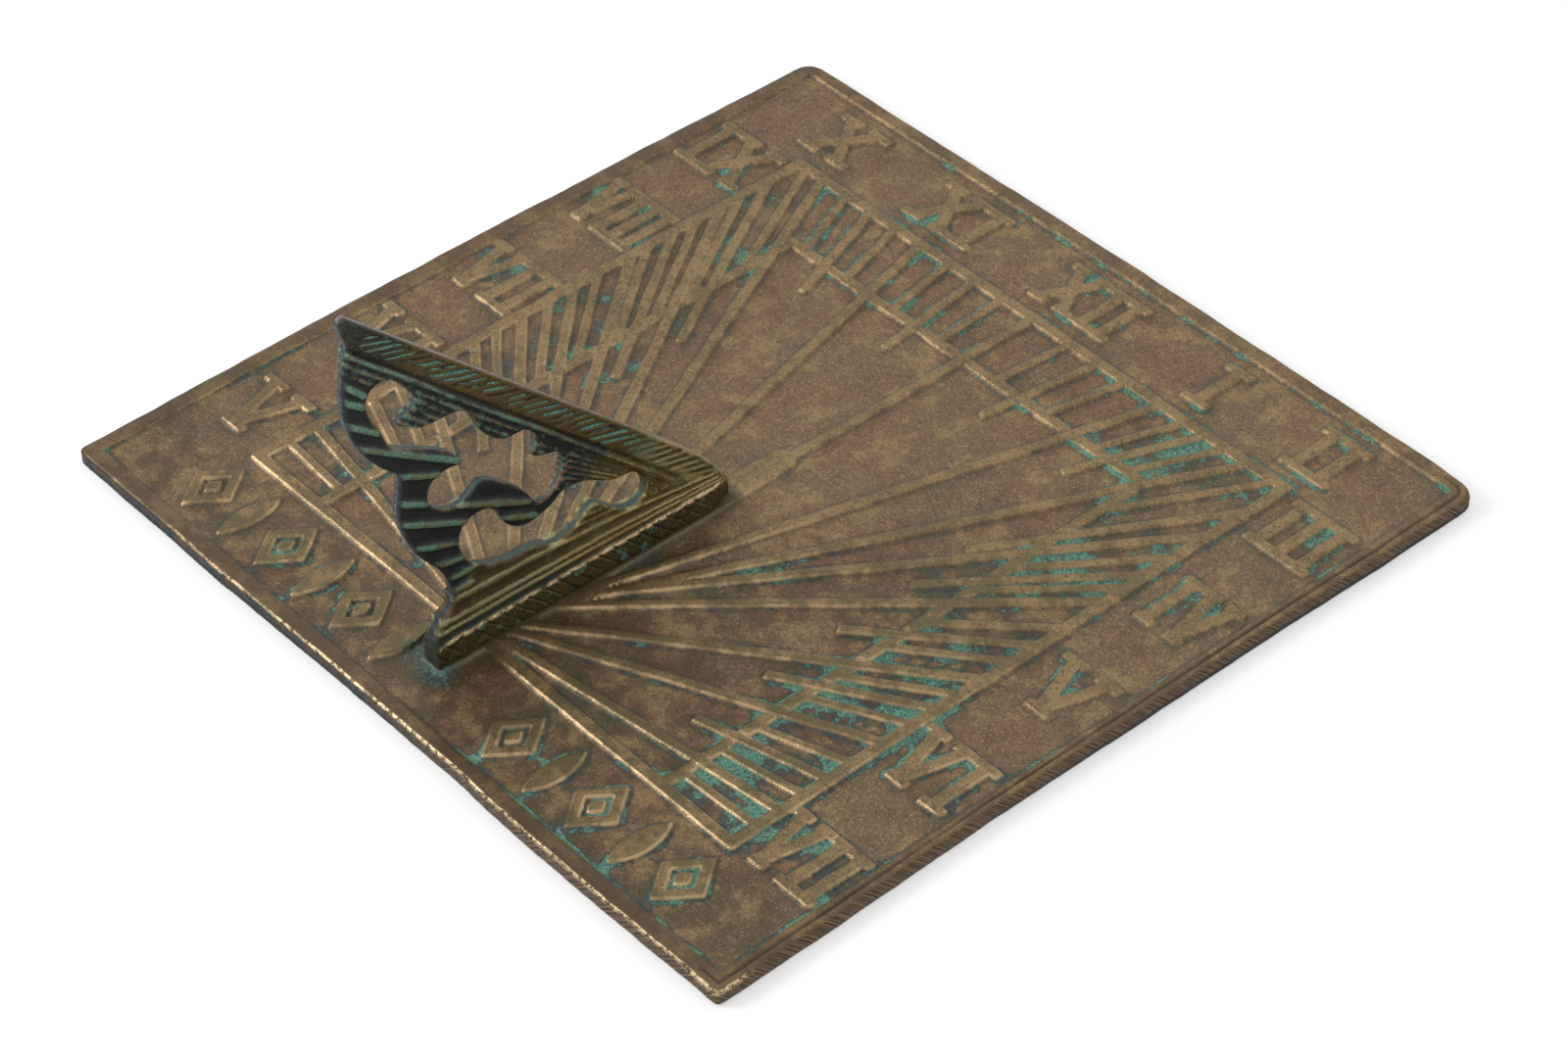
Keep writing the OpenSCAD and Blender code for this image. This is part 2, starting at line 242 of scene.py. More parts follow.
class Skin:
    """The corners and faces of one piece, with facts about each corner, gathered patch by patch."""

    def __init__(self):
        self.corners, self.faces, self.patches, self.count = [], [], [], 0

    def add(self, corners, faces=(), **facts):
        """Adds corners and the faces between them. A fact that isn't given is 0 there."""
        self.faces += [tuple(self.count + face) for face in faces]
        self.corners.append(corners)
        self.patches.append((len(corners), facts))
        self.count += len(corners)

    def join(self, size):
        """Adds quads between the last two rings of the given size."""
        self.faces += [tuple(quad) for quad in strip(self.count - 2 * size, self.count - size, size)]

    def facts(self):
        """Each fact's name, and its value at every corner."""
        for name in sorted({name for _, facts in self.patches for name in facts}):
            values = [np.zeros(size) + facts.get(name, 0.0) for size, facts in self.patches]
            yield name, np.concatenate(values).astype(np.float32)


def piece(name, skin, material):
    """A welded, smooth object on the root body, with its facts as attributes of its corners."""
    mesh = bpy.data.meshes.new(name)
    mesh.from_pydata([tuple(c) for c in np.concatenate(skin.corners) * MM], [], skin.faces)
    for fact, values in skin.facts():
        mesh.attributes.new(fact, "FLOAT", "POINT").data.foreach_set("value", values)
    work = bmesh.new()
    work.from_mesh(mesh)
    bmesh.ops.remove_doubles(work, verts=work.verts, dist=2e-6)
    bmesh.ops.recalc_face_normals(work, faces=work.faces)
    work.to_mesh(mesh)
    work.free()
    mesh.polygons.foreach_set("use_smooth", [True] * len(mesh.polygons))
    mesh.materials.append(material)
    obj = bpy.data.objects.new(name, mesh)
    bpy.context.scene.collection.objects.link(obj)
    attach(obj, ROOT)
    return obj


# Materials

def srgb(r, g, b):
    """A colour as it looks on screen, 0 to 255, as Blender's linear colour."""
    def linear(c):
        c /= 255
        return c / 12.92 if c <= 0.04045 else ((c + 0.055) / 1.055) ** 2.4
    return (linear(r), linear(g), linear(b), 1.0)


def feed(tree, node, values):
    """Links a node's inputs to the sockets among the values, and sets the others."""
    for key, value in values.items():
        if isinstance(value, bpy.types.NodeSocket):
            tree.links.new(value, node.inputs[key])
        else:
            node.inputs[key].default_value = value


def add_node(tree, kind, values, **settings):
    node = tree.nodes.new("ShaderNode" + kind)
    for key, value in settings.items():
        setattr(node, key, value)
    feed(tree, node, values)
    return node


class Finish:
    """A node material, written as calls that return sockets."""

    def __init__(self, name, **textures):
        """Each texture is a noise by its name, given as the size of its lumps, detail and roughness."""
        self.material = bpy.data.materials.new(name)
        self.material.use_nodes = True
        self.tree = self.material.node_tree
        self.shader = self.tree.nodes["Principled BSDF"]
        self.place = self.put("TexCoord", {}).outputs["Object"]
        for texture, values in textures.items():
            setattr(self, texture, self.lumps(*values))

    def put(self, kind, values, **settings):
        return add_node(self.tree, kind, values, **settings)

    def fact(self, name):
        return self.put("Attribute", {}, attribute_name=name).outputs["Fac"]

    def chain(self, operation, *values):
        """The values worked together one after another."""
        total = values[0]
        for value in values[1:]:
            total = self.put("Math", {0: total, 1: value}, operation=operation).outputs[0]
        return total

    def times(self, *values):
        return self.chain("MULTIPLY", *values)

    def plus(self, *values):
        return self.chain("ADD", *values)

    def less(self, *values):
        return self.chain("SUBTRACT", *values)

    def most(self, *values):
        return self.chain("MAXIMUM", *values)

    def between(self, value, start, end, low=0.0, high=1.0):
        """Smoothly from low to high as the value goes from start to end."""
        ends = {"Value": value, "From Min": start, "From Max": end, "To Min": low, "To Max": high}
        return self.put("MapRange", ends, interpolation_type="SMOOTHSTEP").outputs["Result"]

    def mix(self, share, a, b):
        """Colour a with the given share of colour b over it."""
        return self.put("Mix", {0: share, 6: a, 7: b}, data_type="RGBA").outputs[2]

    def paint(self, colour, *coats):
        """The colour under coats of others. A coat is a colour and its share, or a colour, a value
        and the two ends between which its share grows from 0 to the last number, or to 1."""
        for coat, share, *ends in coats:
            if ends:
                start, end, *most = ends
                share = self.between(share, start, end, 0.0, *most)
            colour = self.mix(share, colour, coat)
        return colour

    def lumps(self, size, detail=3.0, roughness=0.6, stretch=(1, 1, 1)):
        """Noise from 0 to 1 with lumps of the given size in mm."""
        scaled = self.put("Mapping", {"Vector": self.place, "Scale": stretch}).outputs[0]
        values = {"Vector": scaled, "Scale": 1 / (size * MM), "Detail": detail, "Roughness": roughness}
        return self.put("TexNoise", values).outputs["Fac"]

    def strokes(self, way, size):
        """Noise from 0 to 1 that changes along one direction only, as file strokes do."""
        along = self.put("VectorMath", {0: self.place, 1: way}, operation="DOT_PRODUCT").outputs["Value"]
        values = {"W": along, "Scale": 1 / (size * MM), "Detail": 2.0, "Roughness": 0.6}
        return self.put("TexNoise", values, noise_dimensions="1D").outputs["Fac"]

    def bump(self, height, depth, under=None):
        """Bump of the given depth in mm where the height goes from 0 to 1."""
        values = {"Height": height, "Distance": depth * MM, "Strength": 1.0}
        if under is not None:
            values["Normal"] = under
        return self.put("Bump", values).outputs["Normal"]

    def shine(self, **values):
        feed(self.tree, self.shader, {key.replace("_", " ").title(): values[key] for key in values})


FIELD_BROWN = srgb(108, 89, 65)
FIELD_RED = srgb(118, 86, 63)
FIELD_GOLD = srgb(136, 114, 78)
FIELD_DARK = srgb(76, 60, 44)
FIELD_SHADE = srgb(64, 55, 38)
TOP_TAN = srgb(135, 114, 80)
TOP_DULL = srgb(110, 94, 67)
TOP_PALE = srgb(182, 156, 118)
TOP_SHADE = srgb(100, 90, 62)
RIM_BROWN = srgb(92, 75, 58)
VERDIGRIS = srgb(104, 158, 134)
VERDIGRIS_PALE = srgb(148, 192, 166)
VERDIGRIS_DEEP = srgb(72, 114, 102)
BLUE_GRIME = srgb(52, 64, 66)
# The next two colours are grime, and painted shade at the foot of the relief
TEAL_GRIME_AND_SHADE = srgb(70, 76, 68)
BROWN_GRIME_AND_SHADE = srgb(82, 68, 50)
BLACK_GRIME = srgb(20, 26, 28)
WALL_BROWN = srgb(78, 64, 51)
WALL_BLUE = srgb(44, 50, 53)
WALL_DARK = srgb(60, 49, 39)
WALL_TAN = srgb(124, 102, 76)
GLINT = srgb(232, 206, 164)
SPARKLE = srgb(226, 208, 170)
WORN = srgb(206, 176, 140)
HATCH_BROWN = srgb(93, 75, 40)
HATCH_DARK = srgb(44, 36, 24)
HATCH_GREY = srgb(120, 124, 98)
OLIVE = srgb(124, 118, 80)
OLIVE_GOLD = srgb(166, 146, 92)
OLIVE_DARK = srgb(60, 54, 30)
RIB_DARK = srgb(64, 74, 62)
RIB_OLIVE = srgb(116, 120, 84)
LEAF_BROWN = srgb(112, 88, 62)
LIP_BROWN = srgb(140, 112, 78)
FOOT_BROWN = srgb(78, 62, 38)
FOOT_OLIVE = srgb(94, 82, 48)
FOOT_PALE = srgb(160, 156, 114)
FOOT_TEAL = srgb(54, 62, 52)
SIDE_OLIVE = srgb(92, 82, 46)
SIDE_GREEN = srgb(134, 128, 80)
RUST = srgb(110, 72, 36)
CUT_TEAL = srgb(56, 74, 70)
CUT_PALE = srgb(100, 120, 106)
CUT_TAN = srgb(116, 100, 68)
STYLE_GREY = srgb(150, 134, 128)
EDGE_GREY = srgb(96, 106, 108)
SCREW_BRASS = srgb(170, 142, 90)


def verdigris(m):
    """The mottled greens of old copper salts."""
    return m.paint(
        VERDIGRIS, (VERDIGRIS_DEEP, m.fine, 0.42, 0.62), (BLUE_GRIME, m.speck, 0.46, 0.34, 0.75),
        (VERDIGRIS_PALE, m.speck, 0.52, 0.7))


def plate_metal(m, raised):
    """Brown field with red and gold patches, and filed tan relief, both darker in patches, most towards the
    bottom and the lower right.
    """
    rim, dull = m.fact("rim"), m.fact("dull")
    field = m.paint(
        FIELD_BROWN, (FIELD_RED, m.wide, 0.42, 0.6, 0.75), (FIELD_GOLD, m.mid, 0.5, 0.66),
        (FIELD_DARK, m.mid, 0.46, 0.33, 0.45), (FIELD_DARK, m.fine, 0.52, 0.72, 0.62),
        (TOP_PALE, m.speck, 0.54, 0.68, 0.6), (FIELD_DARK, m.speck, 0.45, 0.3, 0.65))
    top = m.paint(
        TOP_TAN, (TOP_DULL, m.mid, 0.58, 0.4), (FIELD_DARK, m.fine, 0.52, 0.72, 0.8),
        (TOP_PALE, m.speck, 0.54, 0.7, 0.65), (FIELD_DARK, m.speck, 0.44, 0.3, 0.5),
        (TOP_SHADE, m.times(dull, m.between(m.mid, 0.6, 0.45, 0.1, 0.8))))
    rim_tone = m.plus(m.between(m.mid, 0.6, 0.4, 0.2, 0.6), m.times(m.fact("dim"), 0.35))
    shaded = m.times(dull, m.between(raised, 0.0, 1.0, 1.0, 0.25), m.between(m.mid, 0.58, 0.42, 0.1, 0.6))
    return m.paint(
        field, (top, m.times(raised, m.between(rim, 0.0, 1.0, 1.0, 0.45))),
        (RIM_BROWN, m.times(rim, rim_tone)), (FIELD_SHADE, shaded))


def plate_grime_and_shade(m, colour, edge, off_top):
    """A dark line that hugs the relief, and a soft dull halo round parts of it: grime, and painted shade
    where the relief meets the field.
    """
    line = m.times(m.between(edge, -1.35, -0.95), m.between(edge, -0.8, -0.5, 1.0, 0.0))
    halo = m.times(m.between(edge, -3.4, -0.9), off_top)
    tint = m.paint(TEAL_GRIME_AND_SHADE, (BROWN_GRIME_AND_SHADE, m.wide, 0.45, 0.55))
    return m.paint(
        colour, (tint, m.times(halo, m.between(m.mid, 0.54, 0.42, 0.0, 0.4))),
        (TEAL_GRIME_AND_SHADE, m.times(line, m.between(m.fine, 0.6, 0.42, 0.15, 0.5))))


def plate_salts(m, edge, off_top):
    """Shares of verdigris, in thin ragged lines against the relief, and of the wider line of blue
    grime round it. Both spread where the relief is crowded."""
    crowd = m.fact("crowd")
    patch = m.plus(
        m.lumps(12, 3, 0.6), m.fact("salts"), m.times(m.fine, 0.3), m.between(crowd, 0.42, 0.62, 0.0, 0.1))
    spread = m.plus(
        edge, m.between(crowd, 0.45, 0.7, 0.0, 0.45), m.times(m.less(m.fine, 0.5), 0.9),
        m.times(m.less(m.speck, 0.5), 0.7), m.between(patch, 0.9, 1.25, 0.0, 0.5))
    grime = m.times(
        m.between(spread, -1.7, -1.2), off_top, m.between(patch, 0.82, 0.98, 0.0, 0.8), m.fact("blue"))
    green = m.times(m.between(spread, -1.25, -0.95), off_top, m.between(patch, 0.95, 1.03, 0.0, 0.95))
    return green, grime


def plate_side(m, colour, strokes, rubbed_and_glint):
    """The rim's wall with its file strokes, the groove, a painted glint on the worn lower arris, and round
    the gnomon's foot grime with painted shade and a pool of verdigris.
    """
    side = m.paint(WALL_BROWN, (WALL_BLUE, m.mid, 0.4, 0.6))
    filed = m.paint(WALL_DARK, (WALL_TAN, strokes, 0.4, 0.6))
    salty = m.paint(VERDIGRIS_DEEP, (VERDIGRIS, m.speck, 0.4, 0.6))
    pool = m.paint(BLUE_GRIME, (salty, m.fine, 0.46, 0.64))
    return m.paint(
        colour, (m.mix(m.fact("right"), side, filed), m.fact("wall"), 0.35, 0.95),
        # The glint is a painted highlight on the worn lower arris of the rim
        (BLACK_GRIME, m.fact("base")), (BLACK_GRIME, m.fact("groove")), (GLINT, rubbed_and_glint),
        # Round the gnomon's foot: painted shade with grime, then a pool of verdigris
        (OLIVE_DARK, m.times(m.fact("grime"), 0.75)), (pool, m.times(m.fact("pool"), 0.85)))


def plate_finish():
    """Brown field, filed tan relief, verdigris in the corners beside it and a dark rim wall."""
    m = Finish("dial_brass", wide=(26, 3, 0.6), mid=(9, 4, 0.68), fine=(1.5, 4, 0.72), speck=(0.5, 2, 0.7))
    edge = m.fact("edge")
    raised = m.between(edge, -0.5, 0.05)
    off_top = m.between(edge, -0.4, -0.05, 1.0, 0.0)
    green, grime = plate_salts(m, edge, off_top)
    # Wear brightens the arrises of the relief; their pale colour is also a painted highlight, strongest
    # towards the bottom of the plate
    arris = m.times(
        m.between(edge, -0.5, -0.25), m.between(edge, 0.1, 0.5, 1.0, 0.0),
        m.between(m.fact("rim"), 0.0, 0.2, 1.0, 0.0), m.fact("polish"))
    colour = m.paint(
        plate_grime_and_shade(m, plate_metal(m, raised), edge, off_top), (BLUE_GRIME, grime), (verdigris(m), green),
        (TOP_PALE, m.times(arris, m.between(m.mid, 0.42, 0.6, 0.2, 0.8))))
    strokes = m.strokes((-0.75, 1.0, 0.9), 0.7)
    # A painted glint along the worn lower arris of the rim
    rubbed_and_glint = m.times(m.fact("rub"), m.between(m.fine, 0.42, 0.54))
    colour = plate_side(m, colour, strokes, rubbed_and_glint)

    dirty = m.most(green, grime, m.times(m.fact("grime"), 0.6), m.times(m.fact("base"), 0.8))
    metal = m.times(m.less(1.0, dirty), m.between(raised, 0, 1, 0.55, 0.75))
    roughness = m.plus(m.between(m.fine, 0.3, 0.7, 0.4, 0.56), m.times(dirty, 0.3))
    roughness = m.less(roughness, m.times(m.most(arris, rubbed_and_glint), 0.18))
    grain = m.bump(m.speck, 0.06, m.bump(m.fine, 0.22))
    filing = m.times(strokes, m.times(m.fact("right"), m.between(m.fact("wall"), 0.1, 0.7)))
    m.shine(base_color=colour, metallic=metal, roughness=roughness, normal=m.bump(filing, 0.5, grain))
    return m.material


def lobe_colour(m, ragged, high, green):
    """Lobes and leaf: black hollows and olive reeds, greener towards the high end."""
    leaf = m.fact("leaf")
    brown = m.times(leaf, m.between(m.plus(m.fact("crest"), m.mid), 0.8, 1.1))
    patina = m.plus(m.mid, m.between(high, 0.45, 0.9, 0.0, 0.1))
    patina = m.times(m.between(patina, 0.46, 0.6), m.between(ragged, 0.55, 0.95, 0.0, 0.9))
    crust = m.times(
        leaf, m.between(m.lumps(2.2, 3, 0.7), 0.5, 0.62, 0.0, 0.9), m.between(ragged, 0.15, 0.6, 0.2, 1.0))
    return m.paint(
        BLACK_GRIME, (RIB_DARK, ragged, 0.2, 0.6), (RIB_OLIVE, ragged, 0.6, 1.05), (LEAF_BROWN, brown),
        (green, m.most(patina, crust)),
        (LIP_BROWN, m.times(m.fact("lip"), m.between(m.fine, 0.4, 0.6, 0.2, 0.9))))


def style_colour(m, ragged, high, grain, green):
    """The style: brown strokes, nearly black at the high end, and cuts that hold verdigris."""
    blackened = m.paint(BLACK_GRIME, (RIB_DARK, ragged, 0.75, 1.1))
    salty = m.paint(HATCH_GREY, (green, m.mid, 0.36, 0.5))
    return m.paint(
        HATCH_DARK, (HATCH_BROWN, ragged, 0.35, 0.8), (OLIVE_DARK, m.fine, 0.5, 0.72, 0.7),
        (OLIVE, m.speck, 0.5, 0.7, 0.5), (blackened, m.times(m.between(high, 0.8, 0.94), 0.85)),
        (salty, m.plus(m.fact("fill"), grain), 0.36, 0.6, 0.95))


def foot_colour(m, ragged):
    """The foot: olive and gold reeds, with dark teal above the arris towards the heel, and painted sparkle
    on the crests, more towards the toe.
    """
    along = m.fact("along")
    hollow = m.paint(FOOT_BROWN, (FOOT_OLIVE, along, 0.3, 0.6))
    crest = m.paint(FOOT_PALE, (OLIVE_GOLD, along, 0.3, 0.5))
    # Painted sparkle highlights on the crests
    flecks = m.times(m.between(m.speck, 0.54, 0.68), m.between(ragged, 0.5, 0.9))
    return m.paint(
        hollow, (crest, ragged, 0.3, 0.9), (RIB_OLIVE, m.mid, 0.54, 0.66, 0.6),
        (FOOT_TEAL, m.times(m.fact("low"), m.between(along, 0.55, 0.3, 0.3, 1.0))),
        (SPARKLE, m.times(flecks, m.between(along, 0.25, 0.45, 0.35, 1.0))))


def side_colour(m, ragged, green):
    """The foot's upright side: dark cuts between olive ground with rust and verdigris."""
    return m.paint(
        HATCH_DARK, (SIDE_OLIVE, ragged, 0.0, 0.8), (SIDE_GREEN, m.fact("crest"), 0.7, 1.1, 0.8),
        (RUST, m.mid, 0.54, 0.66, 0.5), (OLIVE_DARK, m.fine, 0.5, 0.68, 0.7),
        (green, m.mid, 0.41, 0.36, 0.7))


def cut_colour(m, foot, side):
    """The cut edges: mottled teal in the openings, grey along the style and down the back."""
    outside = m.fact("outside")
    back = m.paint(EDGE_GREY, (WALL_BLUE, m.fine, 0.4, 0.65))
    ridge = m.paint(STYLE_GREY, (TOP_DULL, m.fine, 0.45, 0.65))
    return m.paint(
        CUT_TEAL, (CUT_PALE, m.fine, 0.48, 0.62, 0.8), (BLACK_GRIME, m.speck, 0.5, 0.35, 0.6),
        (CUT_TAN, m.mid, 0.44, 0.32), (BLACK_GRIME, m.fine, 0.55, 0.7, 0.7), (back, outside),
        (WALL_BLUE, m.times(outside, m.most(foot, side))), (ridge, m.fact("ridge")))


def gnomon_finish():
    """Nearly black lobes with verdigris on their ribs, a brown hatched style and an olive foot."""
    m = Finish("gnomon_brass", mid=(6, 3, 0.6), fine=(1.1, 4, 0.7), speck=(0.4, 2, 0.7))
    style, foot, side = m.fact("style"), m.fact("foot"), m.fact("side")
    flank, worn, high = m.fact("flank"), m.fact("worn"), m.fact("high")
    green = verdigris(m)
    grain = m.times(m.less(m.fine, 0.5), 1.3)
    ragged = m.plus(m.fact("crest"), grain)
    back = m.paint(WALL_BLUE, (BLACK_GRIME, m.fine, 0.4, 0.65))
    colour = m.paint(
        lobe_colour(m, ragged, high, green), (style_colour(m, ragged, high, grain, green), style),
        (foot_colour(m, ragged), foot), (side_colour(m, ragged, green), side),
        (back, m.times(m.fact("rim"), 0.85)), (cut_colour(m, foot, side), flank),
        # The worn arris, with painted sparkle highlights on it
        (WORN, m.times(worn, m.between(m.fine, 0.36, 0.5, 0.1, 1.0))),
        (SPARKLE, m.times(worn, m.between(m.speck, 0.5, 0.62))))

    bright = m.most(style, foot, flank)
    metal = m.plus(m.between(bright, 0, 1, 0.3, 0.6), m.times(worn, 0.2))
    metal = m.times(metal, m.between(flank, 0, 1, 1.0, 0.3))
    roughness = m.plus(m.between(m.fine, 0.3, 0.7, 0.34, 0.58), m.times(flank, 0.15))
    grain = m.bump(m.speck, 0.13, m.bump(m.fine, 0.32))
    m.shine(base_color=colour, metallic=metal, roughness=roughness, normal=grain)
    return m.material


def screw_finish():
    """Dull turned brass with grime on it."""
    m = Finish("screw_brass")
    tone = m.paint(
        SCREW_BRASS, (TOP_DULL, m.lumps(3), 0.4, 0.7), (FIELD_DARK, m.lumps(0.8, 3), 0.52, 0.72, 0.8))
    turned = m.bump(m.lumps(0.3, 3, 0.6, stretch=(1, 0.1, 1)), 0.04)
    roughness = m.between(m.lumps(1.2), 0.3, 0.7, 0.3, 0.5)
    m.shine(base_color=tone, metallic=0.85, roughness=roughness, normal=turned)
    return m.material


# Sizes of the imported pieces

def corners_of(node):
    """A CAD node's lowest and highest corners."""
    return [np.array(corner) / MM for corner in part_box(node)]


SCREWS = ("heel_screw", "toe_screw")
# Corners nearer to a level than this lie on it
ON_LEVEL = 0.01
PLATE_LOW, PLATE_HIGH = corners_of("dial_plate")
PLATE_TOP = PLATE_HIGH[2]
plate_corners, plate_triangles = welded("dial_plate")
top_faces = (plate_corners[plate_triangles][:, :, 2] > PLATE_TOP - ON_LEVEL).all(1)
# The field is the next level under the tops, by at least this much
RELIEF_LEAST = 0.3
FIELD_Z = max(z for z in plate_corners[:, 2] if z < PLATE_TOP - RELIEF_LEAST)

GNOMON_LOW, GNOMON_HIGH = corners_of("gnomon")
GNOMON_X = (GNOMON_LOW[0] + GNOMON_HIGH[0]) / 2
SEAT_Z = GNOMON_LOW[2]
gnomon_corners, _ = welded("gnomon")
seated = gnomon_corners[gnomon_corners[:, 2] < SEAT_Z + ON_LEVEL]
HEEL_Y, FOOT_LENGTH = seated[:, 1].min(), np.ptp(seated[:, 1])


# The dial plate

# The relief's section across its edge: distance inward from the outline, and share of its height
SECTION_AT = [-1.15, -0.8, -0.48, -0.22, 0.0, 0.28, 0.9]
SECTION_RISE = [0.0, 0.06, 0.26, 0.58, 0.82, 0.94, 1.0]
# Rows of corners beside the relief's outline, and inward from the rim's
RELIEF_ROWS = [-1.1, -0.68, -0.35, -0.05, 0.3, 0.85]
GROOVE_AT, GROOVE_DEPTH, GROOVE_WIDTH = 2.5, 0.5, 0.32
RIM_ROWS = [0.2, 0.55, 1.0, 1.5, 1.9, 2.2, GROOVE_AT - 0.15, GROOVE_AT + 0.15, 2.85, 3.3]
# Radius of the rim's outer arris, of its filed right-hand side, and of the arris under the wall
RIM_ROUND, RIM_ROUND_RIGHT, BASE_ROUND = 1.0, 1.9, 0.35
# Spacing of an outline's points when it is traced, and of corners on the rim, relief and field
PLATE_TRACE, RIM_STEP, RELIEF_STEP, FIELD_STEP, UNDER_STEP = 0.35, 0.7, 1.55, 2.1, 9
# How far the honeycomb stays from the rim and, below and above, from the relief's outline
CLEAR_OF_RIM, CLEAR_BELOW, CLEAR_ABOVE = 3.2, 1.9, 1.3
# The same under the plate, from the rim and from a screw hole, and the close rows beside those
UNDER_CLEAR, HOLE_CLEAR, UNDER_ROW, HOLE_ROW = 6, 3, 1.2, 0.8
# How far the rim and the relief's outline turn, in radians, before one more corner is kept
RIM_TURN, RELIEF_TURN = 0.25, 0.3
# Screw holes: play round the head, radius of the thread's hole, depth to its end, sides
HEAD_PLAY, THREAD_R, HOLE_DEPTH, HOLE_SIDES = 0.08, 2.15, 3.6, 32
HOLE_END_R = 0.05

# How far each side of the plate bows outward, from one end to the other
BOW_AT = np.linspace(-120, 120, 9)
BOWS = {
    (0, -1): [0.4, 0.5, 0.95, 0.6, 0.35, 0.0, 1.0, 1.05, 0.7],
    (1, 0): [0.7, 0.55, -0.3, -0.55, -0.1, 0.1, 0.1, 0.7, 1.0],
    (0, 1): [-0.5, 0.1, 0.3, 0.55, 0.7, 1.0, 0.6, 0.3, 0.3],
    (-1, 0): [-0.6, 0.2, 0.3, 0.6, 1.2, 0.75, 0.9, 0.25, -0.2],
}


def wandered(p):
    """The plan's small wobbles, as from a pattern cut by hand, and the bows of the plate's sides."""
    slow = np.stack([rough(p, 45, 11), rough(p, 45, 12)], 1) * 0.25
    quick = np.stack([rough(p, 7, 13, 2), rough(p, 7, 14, 2)], 1) * 0.1
    moved = p + slow + quick
    for (x, y), bow in BOWS.items():
        short = PLATE_HIGH[0] - p @ np.array([x, y])
        out = np.interp(p[:, 0] if y else p[:, 1], BOW_AT, bow) * ease(short, 6, 0.5)
        moved = moved + out[:, None] * np.array([x, y])
    return moved


def rim_round(p):
    """Radius of the rim's outer arris: largest along the filed right-hand side."""
    return RIM_ROUND + (RIM_ROUND_RIGHT - RIM_ROUND) * ease(p[:, 0], 112, 122) + 0.25 * noise(p, 8, 29)


def rounded_off(d, radius):
    """How far a rounded edge of the given radius lies below the square one at the distance d."""
    short = np.clip(radius - d, 0, radius)
    return radius - np.sqrt(np.maximum(radius ** 2 - short ** 2, 0))


def groove(p, r):
    """How deep the shallow groove along the right-hand rim is, from 0 to about 1."""
    strength = ease(p[:, 0], 116, 121) * (0.8 + 0.3 * noise(p, 12, 26))
    return np.exp(-((r - GROOVE_AT) / GROOVE_WIDTH) ** 2) * strength


def plate_height(p, s, r):
    """Height of the face at points s inside the relief's outline and r inside the plate's."""
    rise = np.interp(s + 0.1 * noise(p, 3.5, 21), SECTION_AT, SECTION_RISE)
    z = FIELD_Z + 0.1 * rough(p, 16, 22) + 0.05 * rough(p, 4, 23)
    top = PLATE_TOP + 0.05 * rough(p, 22, 24) + 0.03 * rough(p, 3, 25)
    return z + (top - z) * rise - GROOVE_DEPTH * groove(p, r) - rounded_off(r, rim_round(p))


def hand_filed(p):
    """Where the rim's wall shows file strokes: down the right-hand side and round the lower corner."""
    x, y = p.T
    return np.maximum(ease(x, 118, 124), ease(x, -20, 60) * ease(y, -115, -122))


def salts(p, busy):
    """How readily verdigris forms: most in busy places to the lower right, least at the left."""
    x, y = p.T
    place = 0.03 * ease(x, 20, 80) - 0.08 * ease(x, -60, -85) + 0.03 * ease(y, 60, 75) * ease(y, 98, 94)
    place = place + 0.05 * ease(x - y, 70, 130) * ease(x, -20, 30) - 0.06 * ease(x, 94, 104)
    place = place - 0.15 * ease(foot_distance(p, FOOT_LENGTH), 30, 12)
    return place + np.interp(busy, [0.05, 0.35], [0, 0.26])


def darkening(p):
    """How much darker the plate is made, in patches: most along the bottom and to the lower right."""
    x, y = p.T
    lower = 0.9 * ease(x - y, 0, 80) * ease(x, -10, 30) * ease(x, 104, 84)
    return np.clip(np.maximum(lower, 0.8 * ease(y, -92, -104)) + 0.15 * rough(p, 30, 65), 0, 1)


def crowding(p, edge, reach=3.2, cell=0.8):
    """How much of the ground within reach of each point is raised, from 0 to 1."""
    half = 130
    size = int(math.ceil(2 * half / cell))
    at = (np.arange(size) + 0.5) * cell - half
    x, y = np.meshgrid(at, at, indexing="ij")
    cells = (edge(np.stack([x.ravel(), y.ravel()], 1)) > 0).reshape(size, size) * 1.0
    n = int(round(reach / cell))
    steps = range(-n, n + 1)
    total = sum(np.roll(cells, (i, j), (0, 1)) for i in steps for j in steps) / len(steps) ** 2
    ix, iy = np.clip(((p + half) / cell).astype(int), 0, size - 1).T
    return total[ix, iy]


def foot_distance(p, length):
    """Distance on the plate from the given length of the gnomon's foot, from its heel on."""
    low, high = np.array([GNOMON_LOW[0], HEEL_Y]), np.array([GNOMON_HIGH[0], HEEL_Y + length])
    return np.linalg.norm(np.maximum(np.maximum(low - p, p - high), 0), axis=1)


def plate_facts(p, edge, s, r):
    """What the plate's finish needs to know at points of its face."""
    x, y = p.T
    return {
        "edge": np.clip(s, -8, 4), "crowd": crowding(p, edge), "salts": salts(p, crowding(p, edge, 8, 1.6)),
        "wall": ease(r, np.interp(x, [112, 122], [0.6, 1.8]), 0.0), "rim": ease(r, 4.6, 3.8),
        "right": hand_filed(p), "groove": 0.85 * groove(p, r), "dull": darkening(p),
        # Arrises: wear, and a painted highlight, strongest towards the bottom of the plate
        "polish": 0.2 + 0.8 * ease(y, 20, -50), "blue": 0.45 + 0.55 * ease(y, 30, -50),
        "dim": np.maximum(ease(x, -80, -118), ease(y, -95, -118)),
        # A painted glint on the worn outer arris along the bottom of the rim
        "rub": (ease(r, 0.1, 0.3) * ease(r, 0.9, 0.5) * ease(y, -115, -122)
                * ease(x + 40 * rough(p, 10, 28), -90, -20)),
        # Darker round the gnomon's foot: painted shade where it stands on the plate, and grime
        "grime": ease(foot_distance(p, FOOT_LENGTH), 3.2, 0.3),
        "pool": ease(foot_distance(p, 1) + 2.5 * rough(p, 5, 27), 7, 0.5),
    }


